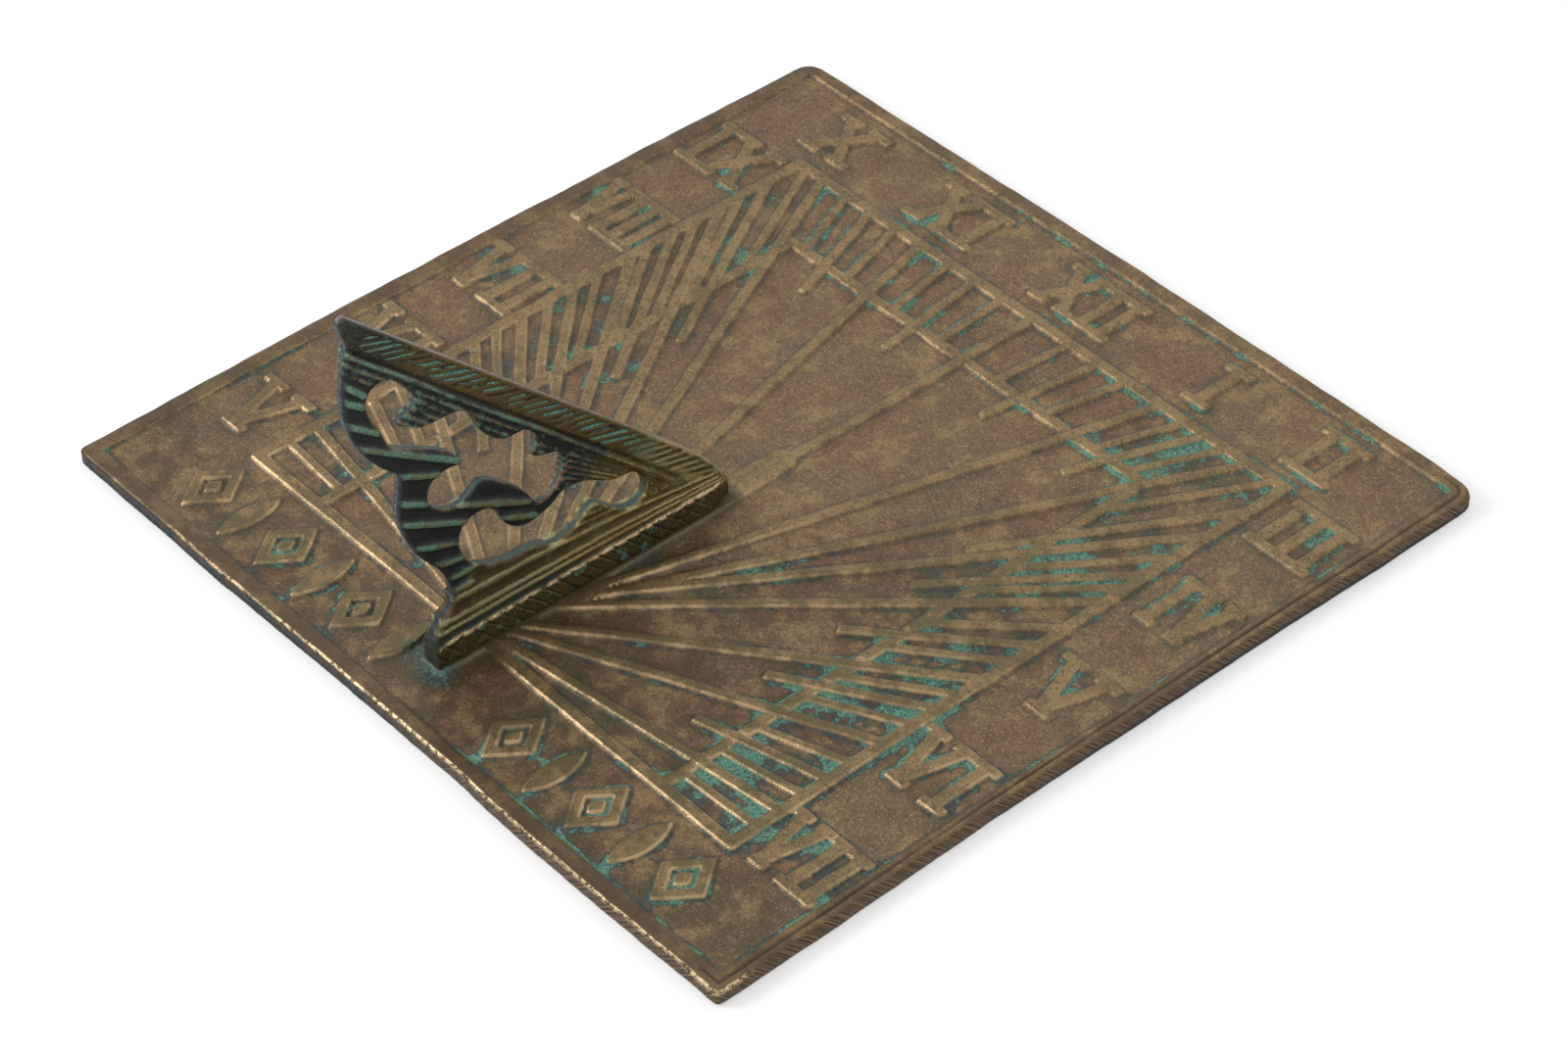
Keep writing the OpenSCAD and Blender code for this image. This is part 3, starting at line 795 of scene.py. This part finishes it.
def add_plate_face(skin, outline, relief, rim, wall):
    """The face: corners in rows beside the rim and the relief, and in a honeycomb between them."""
    edge = Edge(relief, PLATE_TRACE)
    rows = [levelled([outline], rim, row, RIM_STEP, RIM_TURN) for row in RIM_ROWS]
    rows += [levelled(relief, edge, row, RELIEF_STEP, RELIEF_TURN) for row in RELIEF_ROWS]
    spread = honeycomb(PLATE_LOW[:2], PLATE_HIGH[:2], FIELD_STEP)
    s = edge(spread)
    spread = spread[(rim(spread) > CLEAR_OF_RIM) & ((s < -CLEAR_BELOW) | (s > CLEAR_ABOVE))]
    inner = np.concatenate(rows + [spread])
    flat, faces = filled([wall], inner[rim(inner) > 0.1])
    s, r = edge(flat), rim(flat)
    corners = np.column_stack([wandered(flat), plate_height(flat, s, r)])
    skin.add(corners, faces, **plate_facts(flat, edge, s, r))


def add_plate_wall(skin, wall):
    """The wall, straight down from the rounded rim and rounded again at its base."""
    normals = inward(wall)
    x, y = wall.T
    black = np.maximum(ease(x, 60, -60) * ease(x, 122, 118), ease(y, -70, 20))
    rows = [(0, PLATE_TOP - rim_round(wall)), (0.02, 2.0), (0.0, 1.2),
            (0.05, BASE_ROUND), (0.2, 0.12), (BASE_ROUND, 0)]
    for k, (inset, level) in enumerate(rows):
        ring = wall + normals * inset
        wobble = 0.06 * hashed(np.arange(len(wall)), np.zeros(len(wall), int) + k, 31) * (0 < k < 4)
        moved = wandered(ring) + normals * wobble[:, None]
        skin.add(np.column_stack([moved, level + 0 * x]), edge=1.0, wall=1.0, rim=1.0,
                 right=hand_filed(wall), base=black * ease(k, 0, 3))
        if k:
            skin.join(len(wall))


def add_underside(skin, wall, rim):
    """The flat underside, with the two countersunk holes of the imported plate."""
    normals = inward(wall)
    turn = np.arange(HOLE_SIDES) * 2 * math.pi / HOLE_SIDES
    circle = np.stack([np.cos(turn), np.sin(turn)], 1)
    holes = []
    for node in SCREWS:
        low, high = corners_of(node)
        holes.append((((low + high) / 2)[:2], (high[1] - low[1]) / 2 + HEAD_PLAY))
    under = honeycomb(PLATE_LOW[:2], PLATE_HIGH[:2], UNDER_STEP)
    under = under[rim(under) > UNDER_CLEAR]
    for middle, radius in holes:
        under = under[np.linalg.norm(under - middle, axis=1) > radius + HOLE_CLEAR]
    # A close inner row keeps the wall's shading off the flat
    close = [wall + normals * UNDER_ROW]
    close += [middle + circle * (radius + HOLE_ROW) for middle, radius in holes]
    borders = [wall + normals * BASE_ROUND] + [middle + circle * radius for middle, radius in holes]
    flat, faces = filled(borders, np.concatenate(close + [under]))
    corners = np.column_stack([wandered(flat), np.zeros(len(flat))])
    skin.add(corners, faces[:, ::-1], edge=1.0, wall=0.65, rim=1.0)
    for middle, radius in holes:
        shift = wandered(middle + circle * radius) - (middle + circle * radius)
        cone = radius - THREAD_R
        rings = [(radius, 0.0), (THREAD_R, cone), (THREAD_R, HOLE_DEPTH), (HOLE_END_R, HOLE_DEPTH)]
        for k, (ring_r, level) in enumerate(rings):
            ring = middle + circle * ring_r + shift * (k == 0)
            skin.add(np.column_stack([ring, np.full(HOLE_SIDES, level)]), edge=1.0, wall=0.8, rim=1.0)
            if k:
                skin.join(HOLE_SIDES)


def dial_plate(material):
    rings = [plate_corners[ring][:, :2] for ring in chained(border(plate_triangles[top_faces]))]
    rings.sort(key=lambda ring: -np.ptp(ring[:, 0]))
    rings = [resampled(ring, PLATE_TRACE) for ring in rings]
    outline, relief = relaxed(rings[0], 4), [relaxed(ring, 2) for ring in rings[1:]]
    rim = Edge([outline], PLATE_TRACE)
    wall = outline[kept_points(outline, RIM_STEP, RIM_TURN)]
    skin = Skin()
    add_plate_face(skin, outline, relief, rim, wall)
    add_plate_wall(skin, wall)
    add_underside(skin, wall, rim)
    obj = piece("dial_casting", skin, material)
    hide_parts("dial_plate")


# The gnomon, drawn from its east side: along from the heel, and up from its seat

# How deep the foot sinks into its seat, half its width, and the length of its rounded toe
SINK = 0.3
FOOT_HALF = (GNOMON_HIGH[0] - GNOMON_LOW[0]) / 2 - 0.1
NOSE = 9.5
# Radius of the openings' arrises and of the outline's
EDGE_ROUND, BACK_ROUND = 0.35, 0.75
# Heights of the foot's arris and of the three reeds above it, at places along it from the heel
ARRIS_AT, ARRIS_Z = [0, 5, 95], [6.0, 6.8, 7.1]
REED_AT = [0, 30, 60, 95]
REED_Z = [[10.5, 10.4, 9.7, 8.2], [13.2, 12.5, 11.6, 9.0], [18.9, 17.7, 15.0, 9.8]]
# Half thickness and brightness up the foot: 0 at its arris, then 1, 2 and 3 on its reeds
FOOT_V = [-0.2, 0, 0.12, 0.5, 1, 1.4, 2, 2.2, 2.6, 3, 3.2, 3.4]
FOOT_T = [3.4, 3.4, 3.1, 2.6, 2.95, 2.5, 2.75, 2.25, 2.0, 2.45, 1.95, 1.9]
FOOT_CREST = [0.9, 0.9, 0.4, 0.1, 0.95, 0.2, 1.05, 0.15, 0.1, 1.15, 0.0, 0.2]
# Places up the foot for more rows of corners
FOOT_ROWS = [0.06, 0.3, 0.75, 1.2, 1.7, 2.1, 2.4, 2.8, 2.9, 3.1]
RIB_FROM, RIB_TO = np.array([-15.4, 106.0]), np.array([74.0, 18.0])
RIB_LENGTH = 125
# Spacing of the style's strokes, the leaf's reeds and the cuts in the foot's side
HATCH_PITCH, LEAF_PITCH, CUT_PITCH = 1.85, 2.1, 4.44
# How far the style's strokes lean from the rib at its high end, how much more at its toe, in degrees
HATCH_LEAN, HATCH_TURN = 24, 6
# Ribs of the scrolled lobes, each from its end at the back to its end at an opening
LOBE_RIBS = [
    ((-16.5, 103), (-8.8, 95.3)), ((-17.1, 98.4), (-12.3, 93)), ((-18, 94.2), (-13, 90)),
    ((-18, 87.2), (-9.6, 80.4)), ((-15.3, 78.8), (12, 59.5)), ((-4.9, 64.2), (5.8, 58.7)),
    ((-6.5, 56.8), (2, 51.8)), ((-6.5, 50), (12, 40.2)), ((11.2, 46), (31.6, 35.2)),
    ((-3, 40.2), (9.3, 35.2)), ((23.5, 34.5), (33.1, 30)), ((2.4, 31.8), (10.4, 29.5)),
    ((6.8, 25), (14.7, 25)), ((7.4, 20.8), (12.9, 20.7)),
]
# The line between the leaf, the rib and the style above it and the lobes and the foot below it
DIVIDE = [(-14, 99), (-6, 88), (-5, 78), (8, 68), (20, 55), (30, 47), (38, 36), (48, 26), (70, 16)]
# Spacing of an outline's points when it is traced, of corners along it, in rows along the foot, in
# the honeycomb on the foot's side and in the one that fills the rest
GNOMON_TRACE, OUTLINE_STEP, FOOT_STEP, SIDE_STEP, LOOSE_STEP = 0.3, 0.75, 0.9, 0.42, 0.85
OUTLINE_TURN = 0.22
# How far corners stay from the outline, apart from its own rows, and from the other carved rows
CLEAR_OF_OUTLINE, CLEAR_OF_ROWS = 1.4, 0.6
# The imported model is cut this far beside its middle, clear of the tapped holes' middles
CUT_BESIDE = 1.2
# Half width and height of the tapped holes, which the cut meets
TAP_HALF, TAP_HIGH = 2.4, 7.8


def cut_rings():
    """Closed rings, along and up, where a plane beside the gnomon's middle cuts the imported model."""
    work = bmesh.new()
    work.from_mesh(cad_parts["gnomon"].data)
    bmesh.ops.remove_doubles(work, verts=work.verts, dist=1e-6)
    everything = work.verts[:] + work.edges[:] + work.faces[:]
    place = ((GNOMON_X + CUT_BESIDE) * MM, 0, 0)
    cut = bmesh.ops.bisect_plane(work, geom=everything, plane_co=place, plane_no=(1, 0, 0))["geom_cut"]
    beside = {}
    for line in (e for e in cut if isinstance(e, bmesh.types.BMEdge)):
        a, b = line.verts
        beside.setdefault(a, []).append(b)
        beside.setdefault(b, []).append(a)
    rings, seen = [], set()
    for first in beside:
        if first in seen:
            continue
        ring, at = [], first
        while at is not None:
            seen.add(at)
            ring.append((at.co.y / MM - HEEL_Y, at.co.z / MM - SEAT_Z))
            at = next((v for v in beside[at] if v not in seen), None)
        rings.append(np.array(ring))
    work.free()
    return rings


def gnomon_rings():
    """The gnomon's outline without its tapped holes, and its two openings."""
    rings = sorted(cut_rings(), key=lambda ring: -np.ptp(ring[:, 0]))[:3]
    for k, ring in enumerate(rings):
        x, y = ring.T
        area = (x * np.roll(y, -1) - y * np.roll(x, -1)).sum() / 2
        # The solid lies to the left of each ring's way
        if (area > 0) != (k == 0):
            rings[k] = ring[::-1]
    x, y = rings[0].T
    in_tap = np.zeros(len(x), bool)
    for node in SCREWS:
        low, high = corners_of(node)
        middle = (low[1] + high[1]) / 2 - HEEL_Y
        in_tap |= (np.abs(x - middle) < TAP_HALF) & (y < TAP_HIGH) & (y > ON_LEVEL)
    rings[0] = rings[0][~in_tap]
    return [relaxed(resampled(ring, GNOMON_TRACE), 3) for ring in rings]


def along_rib(q):
    """Distance along the rib from its high end, and away from it towards the style."""
    way = (RIB_TO - RIB_FROM) / np.linalg.norm(RIB_TO - RIB_FROM)
    d = q - RIB_FROM
    return d @ way, d @ np.array([-way[1], way[0]])


def divide(s):
    """Height of the line that parts the leaf from the lobes, at places along."""
    return np.interp(s, *np.transpose(DIVIDE), left=99, right=16)


def to_segment(q, a, b):
    """Distance from points to a segment, and the share of the way along it."""
    a, b = np.array(a, float), np.array(b, float)
    t = np.clip((q - a) @ (b - a) / ((b - a) @ (b - a)), 0, 1)
    return np.linalg.norm(q - a - t[:, None] * (b - a), axis=1), t


def wave(phase, sharp=1.0):
    """0 in the grooves and 1 on the crests, with whole numbers in the grooves."""
    return (0.5 - 0.5 * np.cos(2 * np.pi * phase)) ** sharp


def arris_height(s):
    return np.interp(s, ARRIS_AT, ARRIS_Z)


def foot_levels(s):
    """Heights of the arris and the three reeds at the places s along the foot."""
    return [arris_height(s)] + [np.interp(s, REED_AT, z) for z in REED_Z]


def foot_height(s, v):
    """Height of the point that lies v up the foot's moulding."""
    levels = foot_levels(s)
    k = np.clip(np.floor(v).astype(int), 0, 2)
    low, high = np.choose(k, levels[:3]), np.choose(k, levels[1:])
    return low + (v - k) * (high - low)


def foot_rise(q):
    """How far up the foot's moulding a point lies: 0 at the arris, then 1, 2 and 3 on its reeds."""
    levels = foot_levels(q[:, 0])
    rise = 2 + (q[:, 1] - levels[2]) / (levels[3] - levels[2])
    for k in (1, 0):
        share = (q[:, 1] - levels[k]) / (levels[k + 1] - levels[k])
        rise = np.where(q[:, 1] < levels[k + 1], k + share, rise)
    return rise


def style_strokes(q, u, r, outer):
    """Half thickness and brightness of the style, and how full of verdigris its strokes are. The
    strokes differ in strength and in where they start and end, and lean less at the toe."""
    lean = np.radians(HATCH_LEAN + HATCH_TURN * np.clip(u / RIB_LENGTH, 0, 1))
    across = math.sin(math.radians(HATCH_LEAN + HATCH_TURN / 2)) / HATCH_PITCH
    phase = (u - r / np.tan(lean)) * across + 0.3 * noise(q, 14, 41)
    line = np.floor(phase).astype(int)
    strength, start = hashed(line, 0 * line, 55), hashed(line, 0 * line + 1, 56)
    width = 0.16 + 0.06 * strength + 0.05 * noise(q, 3, 49)
    cut = ease(np.abs(phase % 1 - 0.5), width + 0.16, width)
    cut = cut * ease(u, -2, 3) * ease(r, 2.2 + start, 3.8 + start) * ease(outer, 0.4, 1.3 + 0.5 * start)
    cut = cut * (0.84 + 0.16 * strength)
    fine = wave(3 * phase)
    fill = cut * ease(strength + noise(q, 5, 57), -1.5, -0.4)
    return 1.75 - 0.55 * cut + 0.05 * fine, 1 - 0.9 * cut - 0.15 * fine, fill


def leaf_reeds(q, u, r, d):
    """Half thickness and brightness of the leaf. Its crusted reeds run together at the toe."""
    spread = r / np.interp(u, [0, 70, 118], [1, 1, 0.35])
    reeds = (spread + 0.9 + 0.35 * noise(q, 12, 50)) / LEAF_PITCH
    bold = hashed(np.floor(reeds).astype(int), np.zeros(len(q), int), 58)
    crust = rough(q, 2.6, 65, 2)
    reed = wave(reeds, 1.3) * np.clip(0.85 + 0.4 * bold + 0.5 * crust, 0, 1.3)
    half = 1.4 + 0.42 * reed * ease(d, 0.0, 0.8) + 0.1 * crust
    return half, reed * (0.9 + 0.3 * noise(q, 4, 51))


def lobe_ribs(q, outer, inner):
    """Half thickness and brightness of the scrolled lobes with their ribs."""
    ridge = np.zeros(len(q))
    for a, b in LOBE_RIBS:
        away, t = to_segment(q, a, b)
        away = away + 0.2 * noise(q, 2.2, 53)
        ridge = np.maximum(ridge, ease(away / (1.05 - 0.2 * np.abs(2 * t - 1)), 1.4, 0.6))
    return 1.35 + 0.85 * ridge * ease(outer, 0.3, 2.2) * ease(inner, -0.3, 0.9), ridge


def foot_cuts(q, top):
    """How deep the slanting cuts of the foot's side are, and the pale ground beside them. The cuts
    are crossed towards the heel and the toe."""
    s, z = q.T
    down = np.abs(((s + z - 22) / CUT_PITCH + 0.1 * noise(q, 7, 42) + 0.5) % 1 - 0.5)
    up = np.abs(((s - z - 9.5) / CUT_PITCH + 0.1 * noise(q, 7, 43) + 0.5) % 1 - 0.5)
    crossed = np.maximum(ease(s, 30, 22), ease(s, 56, 64) * ease(s, 84, 80))
    cut = np.maximum(ease(down, 0.13, 0.04), ease(up, 0.12, 0.04) * crossed)
    cut = cut * ease(z, top + 0.8, top - 0.5) * ease(s, 90, 80) * ease(noise(q, 5, 64), -1.2, 0.0)
    lit = ease(down, 0.11, 0.16) * ease(down, 0.24, 0.18) * ease(noise(q, 6, 62), -0.6, 0.4)
    return cut, lit


def gnomon_side(q, outer, inner):
    """Half thickness at each point and the facts that its finish needs. Outer and inner are the
    points' distances from the outline and from the openings."""
    s, z = q.T
    u, r = along_rib(q)
    above = z > divide(s)
    v = foot_rise(q)
    on_web = z < np.where(s < 48, 27, 60)
    on_style = (r > 1.0) & (v > 3)
    half, crest, fill = style_strokes(q, u, r, outer)

    leaf = ~(r > 1.1) & above
    leaf_half, leaf_crest = leaf_reeds(q, u, r, np.minimum(outer, inner))
    half, crest = np.where(leaf, leaf_half, half), np.where(leaf, leaf_crest, crest)
    rib = np.exp(-(r / 0.6) ** 2) * above
    hollow = np.exp(-((np.abs(r) - 1.45) / 0.5) ** 2) * above
    half = half + (2.2 - half) * rib - 0.2 * hollow
    crest = np.maximum(crest * (1 - 0.8 * hollow), 0.8 * rib * (0.8 + 0.3 * noise(q, 3, 59)))

    lobe = ~above & (v > 3) & ~on_style
    lobe_half, lobe_crest = lobe_ribs(q, outer, inner)
    half, crest = np.where(lobe, lobe_half, half), np.where(lobe, lobe_crest, crest)

    # The web above the foot has low reeds that run to the toe
    web = ease(s, 12, 24) * on_web * lobe
    rise = (z - foot_levels(s)[3]) / np.interp(s, [30, 85], [2.4, 1.5])
    reed = wave(rise + 0.3 + 0.15 * noise(q, 9, 60)) * ease(s, 24, 36)
    half = half + (1.9 + 0.25 * reed - half) * web
    crest = crest + (0.15 + 0.6 * reed - crest) * web
    foot = ease(v, 3.4, 3.15) * ~on_style
    half = half + (np.interp(v, FOOT_V, FOOT_T) - half) * foot
    crest = crest + (np.interp(v, FOOT_V, FOOT_CREST) * (1 + 0.2 * noise(q, 5, 61)) - crest) * foot
    golden_to = np.interp(s, [11, 16, 60], [3.25, 4.8, 9])
    golden = ease(v, golden_to + 0.4, golden_to - 0.1) * ~on_style * on_web
    golden = golden * np.where(above, ease(u, 92, 106), 1)
    merged = ease(u, 104, 120) * on_style
    golden = np.maximum(golden, 0.8 * merged)

    top = arris_height(s)
    side = z < top
    cut, lit = foot_cuts(q, top)
    half = np.where(side, FOOT_HALF - 0.25 * (1 - z / top), half) - 0.42 * cut
    crest = np.where(side, 0.4 + 0.9 * lit, crest) * (1 - 0.75 * cut)

    half = half + 0.07 * rough(q, 3, 45) + 0.05 * noise(q, 0.9, 46)
    reach = FOOT_LENGTH - 1.8 * ease(z, 5.5, 0.0)
    nose = np.clip((s - (reach - NOSE)) / NOSE, 0, 0.99)
    half = np.minimum(half, FOOT_HALF * np.sqrt(1 - nose ** 2))
    half = half - rounded_off(outer, BACK_ROUND) - rounded_off(inner, EDGE_ROUND)
    # The foot's worn arris, which also carries painted sparkle highlights
    worn = np.exp(-((z - top - 0.15 - 0.25 * noise(q, 2, 66)) / 0.42) ** 2)
    worn = worn * ease(noise(q, 3, 47), -1.0, -0.2) * (1 - cut)
    return half, {
        "crest": crest, "style": on_style * (1.0 - 0.8 * merged), "foot": golden * ~side,
        "side": side * ease(z, top, top - 0.7), "worn": worn * ease(outer, 0.0, 0.8),
        "rim": ease(outer, 1.3, 0.4) * lobe,
        "high": np.clip(1 - u / RIB_LENGTH, 0, 1), "along": s / FOOT_LENGTH,
        "fill": fill * on_style, "low": ease(v, 0.95, 0.6) * ~side, "leaf": leaf * (1 - rib),
        "lip": ease(inner, 0.7, 0.1) * ease(noise(q, 5, 63), -0.5, 0.4),
    }


def rows_along(a, b, offsets, step):
    """Points in rows beside the line from a to b, at the given distances to its left."""
    a, b = np.array(a, float), np.array(b, float)
    way = (b - a) / np.linalg.norm(b - a)
    side = np.array([-way[1], way[0]])
    at = np.arange(0, np.linalg.norm(b - a), step)
    return np.concatenate([a + at[:, None] * way + side * o for o in offsets])


def gnomon_points(rings, edge):
    """Places for the corners of the gnomon's sides, in rows that follow what is carved there."""
    lean = math.radians(-45 + HATCH_LEAN + HATCH_TURN / 2)
    hatch_way = np.array([math.cos(lean), math.sin(lean)])
    hatch_side = np.array([-hatch_way[1], hatch_way[0]])
    a, b = np.meshgrid(np.arange(-140, 140, 1.1), np.arange(-60, 160, HATCH_PITCH / 6))
    hatched = a.reshape(-1, 1) * hatch_way + b.reshape(-1, 1) * hatch_side
    u, r = along_rib(hatched)
    hatched = hatched[(r > 1.9) & (r < 11) & (u > -10) & (foot_rise(hatched) > 3.3)]
    reeds = rows_along(RIB_FROM, RIB_TO + [8, -8], np.arange(-17, 2.1, LEAF_PITCH / 5), 1.0)
    reeds = reeds[(reeds[:, 1] > divide(reeds[:, 0])) & (foot_rise(reeds) > 3.4)]
    beside = (-1.9, -1.2, -0.6, 0, 0.6, 1.2, 1.9)
    ribs = np.concatenate([rows_along(p, q, beside, 1.0) for p, q in LOBE_RIBS])
    foot_end = FOOT_LENGTH + FOOT_STEP
    s, v = np.meshgrid(np.arange(0.5, foot_end, FOOT_STEP), FOOT_V[1:] + FOOT_ROWS)
    moulding = np.stack([s.ravel(), foot_height(s, v).ravel()], 1)
    side = honeycomb((0, 0), (foot_end, max(ARRIS_Z)), SIDE_STEP)
    side = side[side[:, 1] < arris_height(side[:, 0]) - 0.2]
    loose = honeycomb(rings[0].min(0), rings[0].max(0), LOOSE_STEP)
    taken = Edge([reeds, ribs, hatched], GNOMON_TRACE)
    near = np.array([taken.tree.find((x, y, 0))[2] for x, y in loose])
    loose = loose[(near > CLEAR_OF_ROWS) & (foot_rise(loose) > 3.3)]
    fill = np.concatenate([hatched, reeds, ribs, moulding, side, loose])
    rows = (0.1, EDGE_ROUND, BACK_ROUND, 1.2)
    inset = [levelled(rings, edge, row, OUTLINE_STEP, OUTLINE_TURN) for row in rows]
    return np.concatenate(inset + [fill[edge(fill) > CLEAR_OF_OUTLINE]])


def gnomon_corners_at(q, out, lift=0):
    """Corners of the gnomon at points of its side, out from its middle, with the foot sunk a little."""
    up = SEAT_Z + q[:, 1] - SINK * (q[:, 1] < 0.3)
    return np.column_stack([GNOMON_X + out, HEEL_Y + q[:, 0] + lift, up + lift])


def gnomon(material):
    rings = gnomon_rings()
    edge = Edge(rings, GNOMON_TRACE)
    outer, inner = Edge(rings[:1], GNOMON_TRACE), Edge(rings[1:], GNOMON_TRACE)
    outlines = [ring[kept_points(ring, OUTLINE_STEP, OUTLINE_TURN)] for ring in rings]
    flat, faces = filled(outlines, gnomon_points(rings, edge))
    half, facts = gnomon_side(flat, np.maximum(outer(flat), 0), np.maximum(inner(flat), 0))
    skin = Skin()
    for way in (1, -1):
        skin.add(gnomon_corners_at(flat, way * half), faces[:, ::way], **facts)

    # The cut edges, in rows from the east side to the west
    for ring in outlines:
        half, facts = gnomon_side(ring, np.maximum(outer(ring), 0), np.maximum(inner(ring), 0))
        outside = ring is outlines[0]
        facts["worn"] *= 0
        facts["outside"] = 1.0 * outside
        facts["ridge"] = (along_rib(ring)[1] > 6) * outside
        for k, share in enumerate((1, 0.7, 0.35, 0, -0.35, -0.7, -1)):
            jog = 0.03 * noise(ring, 2.5, 52 + k) * (abs(share) < 1)
            skin.add(gnomon_corners_at(ring, half * share, jog), flank=1.0 * (abs(share) < 0.5), **facts)
            if k:
                skin.join(len(ring))
    obj = piece("gnomon_casting", skin, material)
    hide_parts("gnomon")


# Camera, lamps and floor

# Place, point looked at and roll in degrees, fitted to the plate's four corners in the photograph
CAMERA_EYE = (614.65, -521.91, 703.36)
CAMERA_TARGET = (19.764, -12.7694, PLATE_TOP)
CAMERA_ROLL = -1.16194
SENSOR_WIDTH, LENS = 36, 95.66
WHITE = (1, 1, 1, 1)
FLOOR_GREY = (0.8, 0.8, 0.8, 1)
# Strength of the white world where it only lights, and of the floor's own glow to the camera
WORLD_LIGHT, FLOOR_GLOW = 0.5, 0.42
# The floor's side in metres, and how far it lies under the plate in mm, so that the two don't meet
FLOOR_SIDE, FLOOR_GAP = 6, 0.2


def placed(name, data):
    """A new object in the scene."""
    obj = bpy.data.objects.new(name, data)
    bpy.context.scene.collection.objects.link(obj)
    return obj


def camera():
    data = bpy.data.cameras.new("camera")
    data.sensor_width = SENSOR_WIDTH
    data.lens = LENS
    data.clip_start = 0.05
    obj = placed("camera", data)
    eye, target = Vector(CAMERA_EYE) * MM, Vector(CAMERA_TARGET) * MM
    ahead = (target - eye).to_track_quat("-Z", "Y").to_matrix().to_4x4()
    obj.matrix_world = Matrix.Translation(eye) @ ahead @ Matrix.Rotation(math.radians(CAMERA_ROLL), 4, "Z")
    bpy.context.scene.camera = obj


def lamp(name, toward, distance, size, power):
    """A soft square lamp that lights the dial from the given direction."""
    data = bpy.data.lights.new(name, "AREA")
    data.size = size
    data.energy = power
    obj = placed(name, data)
    way = Vector(toward).normalized()
    obj.location = way * distance
    obj.rotation_euler = way.to_track_quat("Z", "Y").to_euler()


def backdrop_rays(tree):
    """1 for the rays that show the backdrop, straight or mirrored, and 0 for those that only light."""
    rays = add_node(tree, "LightPath", {}).outputs
    shown = rays["Is Camera Ray"]
    for kind in ("Is Glossy Ray", "Is Transmission Ray"):
        shown = add_node(tree, "Math", {0: shown, 1: rays[kind]}, operation="MAXIMUM").outputs[0]
    return shown


def studio():
    lamp("key", toward=(-0.75, -0.8, 0.7), distance=1.6, size=0.5, power=10)
    lamp("sky", toward=(-0.35, 0.75, 1.1), distance=1.7, size=1.5, power=3)
    lamp("fill", toward=(1.0, 0.2, 0.9), distance=1.8, size=1.4, power=1)
    world = bpy.data.worlds.new("studio")
    bpy.context.scene.world = world
    world.use_nodes = True
    tree = world.node_tree
    strengths = {"Value": backdrop_rays(tree), "To Min": WORLD_LIGHT, "To Max": 1.0}
    strength = add_node(tree, "MapRange", strengths).outputs["Result"]
    feed(tree, tree.nodes["Background"], {"Color": WHITE, "Strength": strength})


def floor():
    """A white floor that shows the dial's shadow. It looks as bright as the backdrop, not more."""
    bpy.ops.mesh.primitive_plane_add(size=FLOOR_SIDE, location=(0, 0, -FLOOR_GAP * MM))
    obj = bpy.context.object
    obj.name = "floor"
    material = bpy.data.materials.new("floor")
    material.use_nodes = True
    tree = material.node_tree
    glow = add_node(tree, "Math", {0: backdrop_rays(tree), 1: FLOOR_GLOW}, operation="MULTIPLY").outputs[0]
    feed(tree, tree.nodes["Principled BSDF"], {
        "Base Color": FLOOR_GREY, "Roughness": 0.9, "Emission Color": WHITE, "Emission Strength": glow})
    obj.data.materials.append(material)


camera()
studio()
floor()
dial_plate(plate_finish())
gnomon(gnomon_finish())
brass = screw_finish()
for node in SCREWS:
    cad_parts[node].data.materials.clear()
    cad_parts[node].data.materials.append(brass)
bpy.context.scene.view_settings.view_transform = "Standard"
